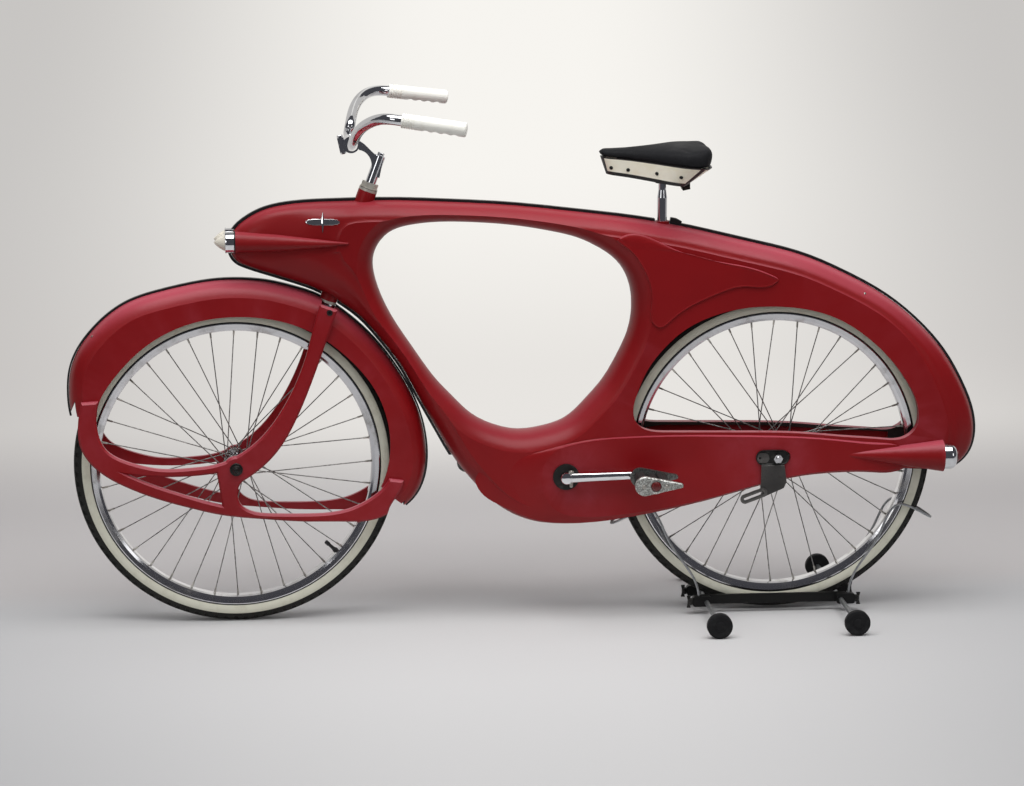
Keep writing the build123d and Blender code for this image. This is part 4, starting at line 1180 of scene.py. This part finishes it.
# Painted falloff of the light: the floor's colour gets darker away from the middle, and in
# front also towards the camera.
painted_falloff_aside = (x - 0.05).size().ramp(0.1, 1.5)
front_tone = paper.mix(painted_falloff_aside, (0.585, 0.578, 0.575), (0.410, 0.408, 0.412))
front_tone = paper.mix(y.ramp(0.0, 1.3) * 0.15, front_tone, (0.0, 0.0, 0.0))
back_tone = paper.mix(painted_falloff_aside, (0.50, 0.48, 0.475), (0.45, 0.43, 0.425))
paper.feed("Base Color", paper.mix(near, back_tone, front_tone))
# Painted light: the wall glows instead of being lit, brightest in the middle and dimmer to
# the sides and at its foot, for camera, glossy and transmission rays.
aside = (x + 0.30).size() * (1 + z * 0.25)
painted_wall_light = paper.mix(aside.ramp(0.2, 1.9), (0.93, 0.91, 0.87), (0.575, 0.560, 0.545))
painted_wall_light = paper.mix(1 - z.ramp(-0.9, 0.5), painted_wall_light, (0.50, 0.47, 0.46))
glow = paper.node("ShaderNodeEmission", {}, {"Color": painted_wall_light, "Strength": 1.0})
in_view, glossy, through = (
    paper.node("ShaderNodeLightPath", out=f"Is {kind} Ray")
    for kind in ("Camera", "Glossy", "Transmission")
)
wall = (1 - y.ramp(-2.0, -0.9)) * in_view.greater(glossy).greater(through)
matt = Shade(paper, paper.shader.outputs[0])
blend = paper.node("ShaderNodeMixShader", {}, {0: wall, 1: matt, 2: glow})
behind = paper.node("ShaderNodeNewGeometry", out="Backfacing")
open_back = paper.node("ShaderNodeBsdfTransparent")
sheet = paper.node("ShaderNodeMixShader", {}, {0: behind, 1: blend, 2: open_back})
paper.link(paper.tree.nodes["Material Output"].inputs["Surface"], sheet)
paper.onto(sweep)

for name, place, target, width, height, power in (
    ("overhead", (0.0, 0.9, 3.6), (0, 0.1, 0.4), 4.2, 2.2, 110),
    ("front_left", (3.8, 4.6, 2.2), (0, 0, 0.5), 1.4, 1.8, 18),
    ("front_right", (-3.8, 4.6, 2.2), (0, 0, 0.5), 1.4, 1.8, 12),
):
    way = (Vector(target) - Vector(place)).to_track_quat("-Z", "Y").to_euler()
    bpy.ops.object.light_add(type="AREA", location=place, rotation=way)
    lamp = bpy.context.object
    lamp.name = name
    lamp.data.shape, lamp.data.size, lamp.data.size_y = "RECTANGLE", width, height
    lamp.data.energy = power


class Sky(Finish):
    """The world's light, built from the same expressions as a finish."""

    def __init__(self, name):
        self.world = bpy.data.worlds.new(name)
        self.world.use_nodes = True
        self.tree = self.world.node_tree
        self.shader = self.tree.nodes["Background"]


sky = Sky("studio")
way = sky.node("ShaderNodeTexCoord", out="Generated")
height = sky.node("ShaderNodeSeparateXYZ", {}, {0: way}, "Z")
rise = {"Value": height, "From Min": 0.05, "From Max": 0.75}
level = sky.node("ShaderNodeMapRange", {}, rise)
tone = sky.mix(level, (0.10, 0.096, 0.096), (0.95, 0.96, 0.98))
for kind, color in (("Glossy", (0.07, 0.07, 0.08)), ("Camera", (0.58, 0.57, 0.56))):
    tone = sky.mix(sky.node("ShaderNodeLightPath", out=f"Is {kind} Ray"), tone, color)
sky.feed("Color", tone)
sky.feed("Strength", 0.9)
bpy.context.scene.world = sky.world
bpy.context.scene.view_settings.view_transform = "Standard"

CAMERA_PLACE, CAMERA_LENS = (0.631, 6.92, 1.863), 121.2
CAMERA_PITCH, CAMERA_TURN = 78.63, 175.04

bpy.ops.object.camera_add(
    location=CAMERA_PLACE,
    rotation=(math.radians(CAMERA_PITCH), 0, math.radians(CAMERA_TURN)),
)
camera = bpy.context.object
camera.name = "camera"
camera.data.lens, camera.data.sensor_width = CAMERA_LENS, 36
camera.data.clip_end = 60
camera.data.dof.use_dof = False
bpy.context.scene.camera = camera
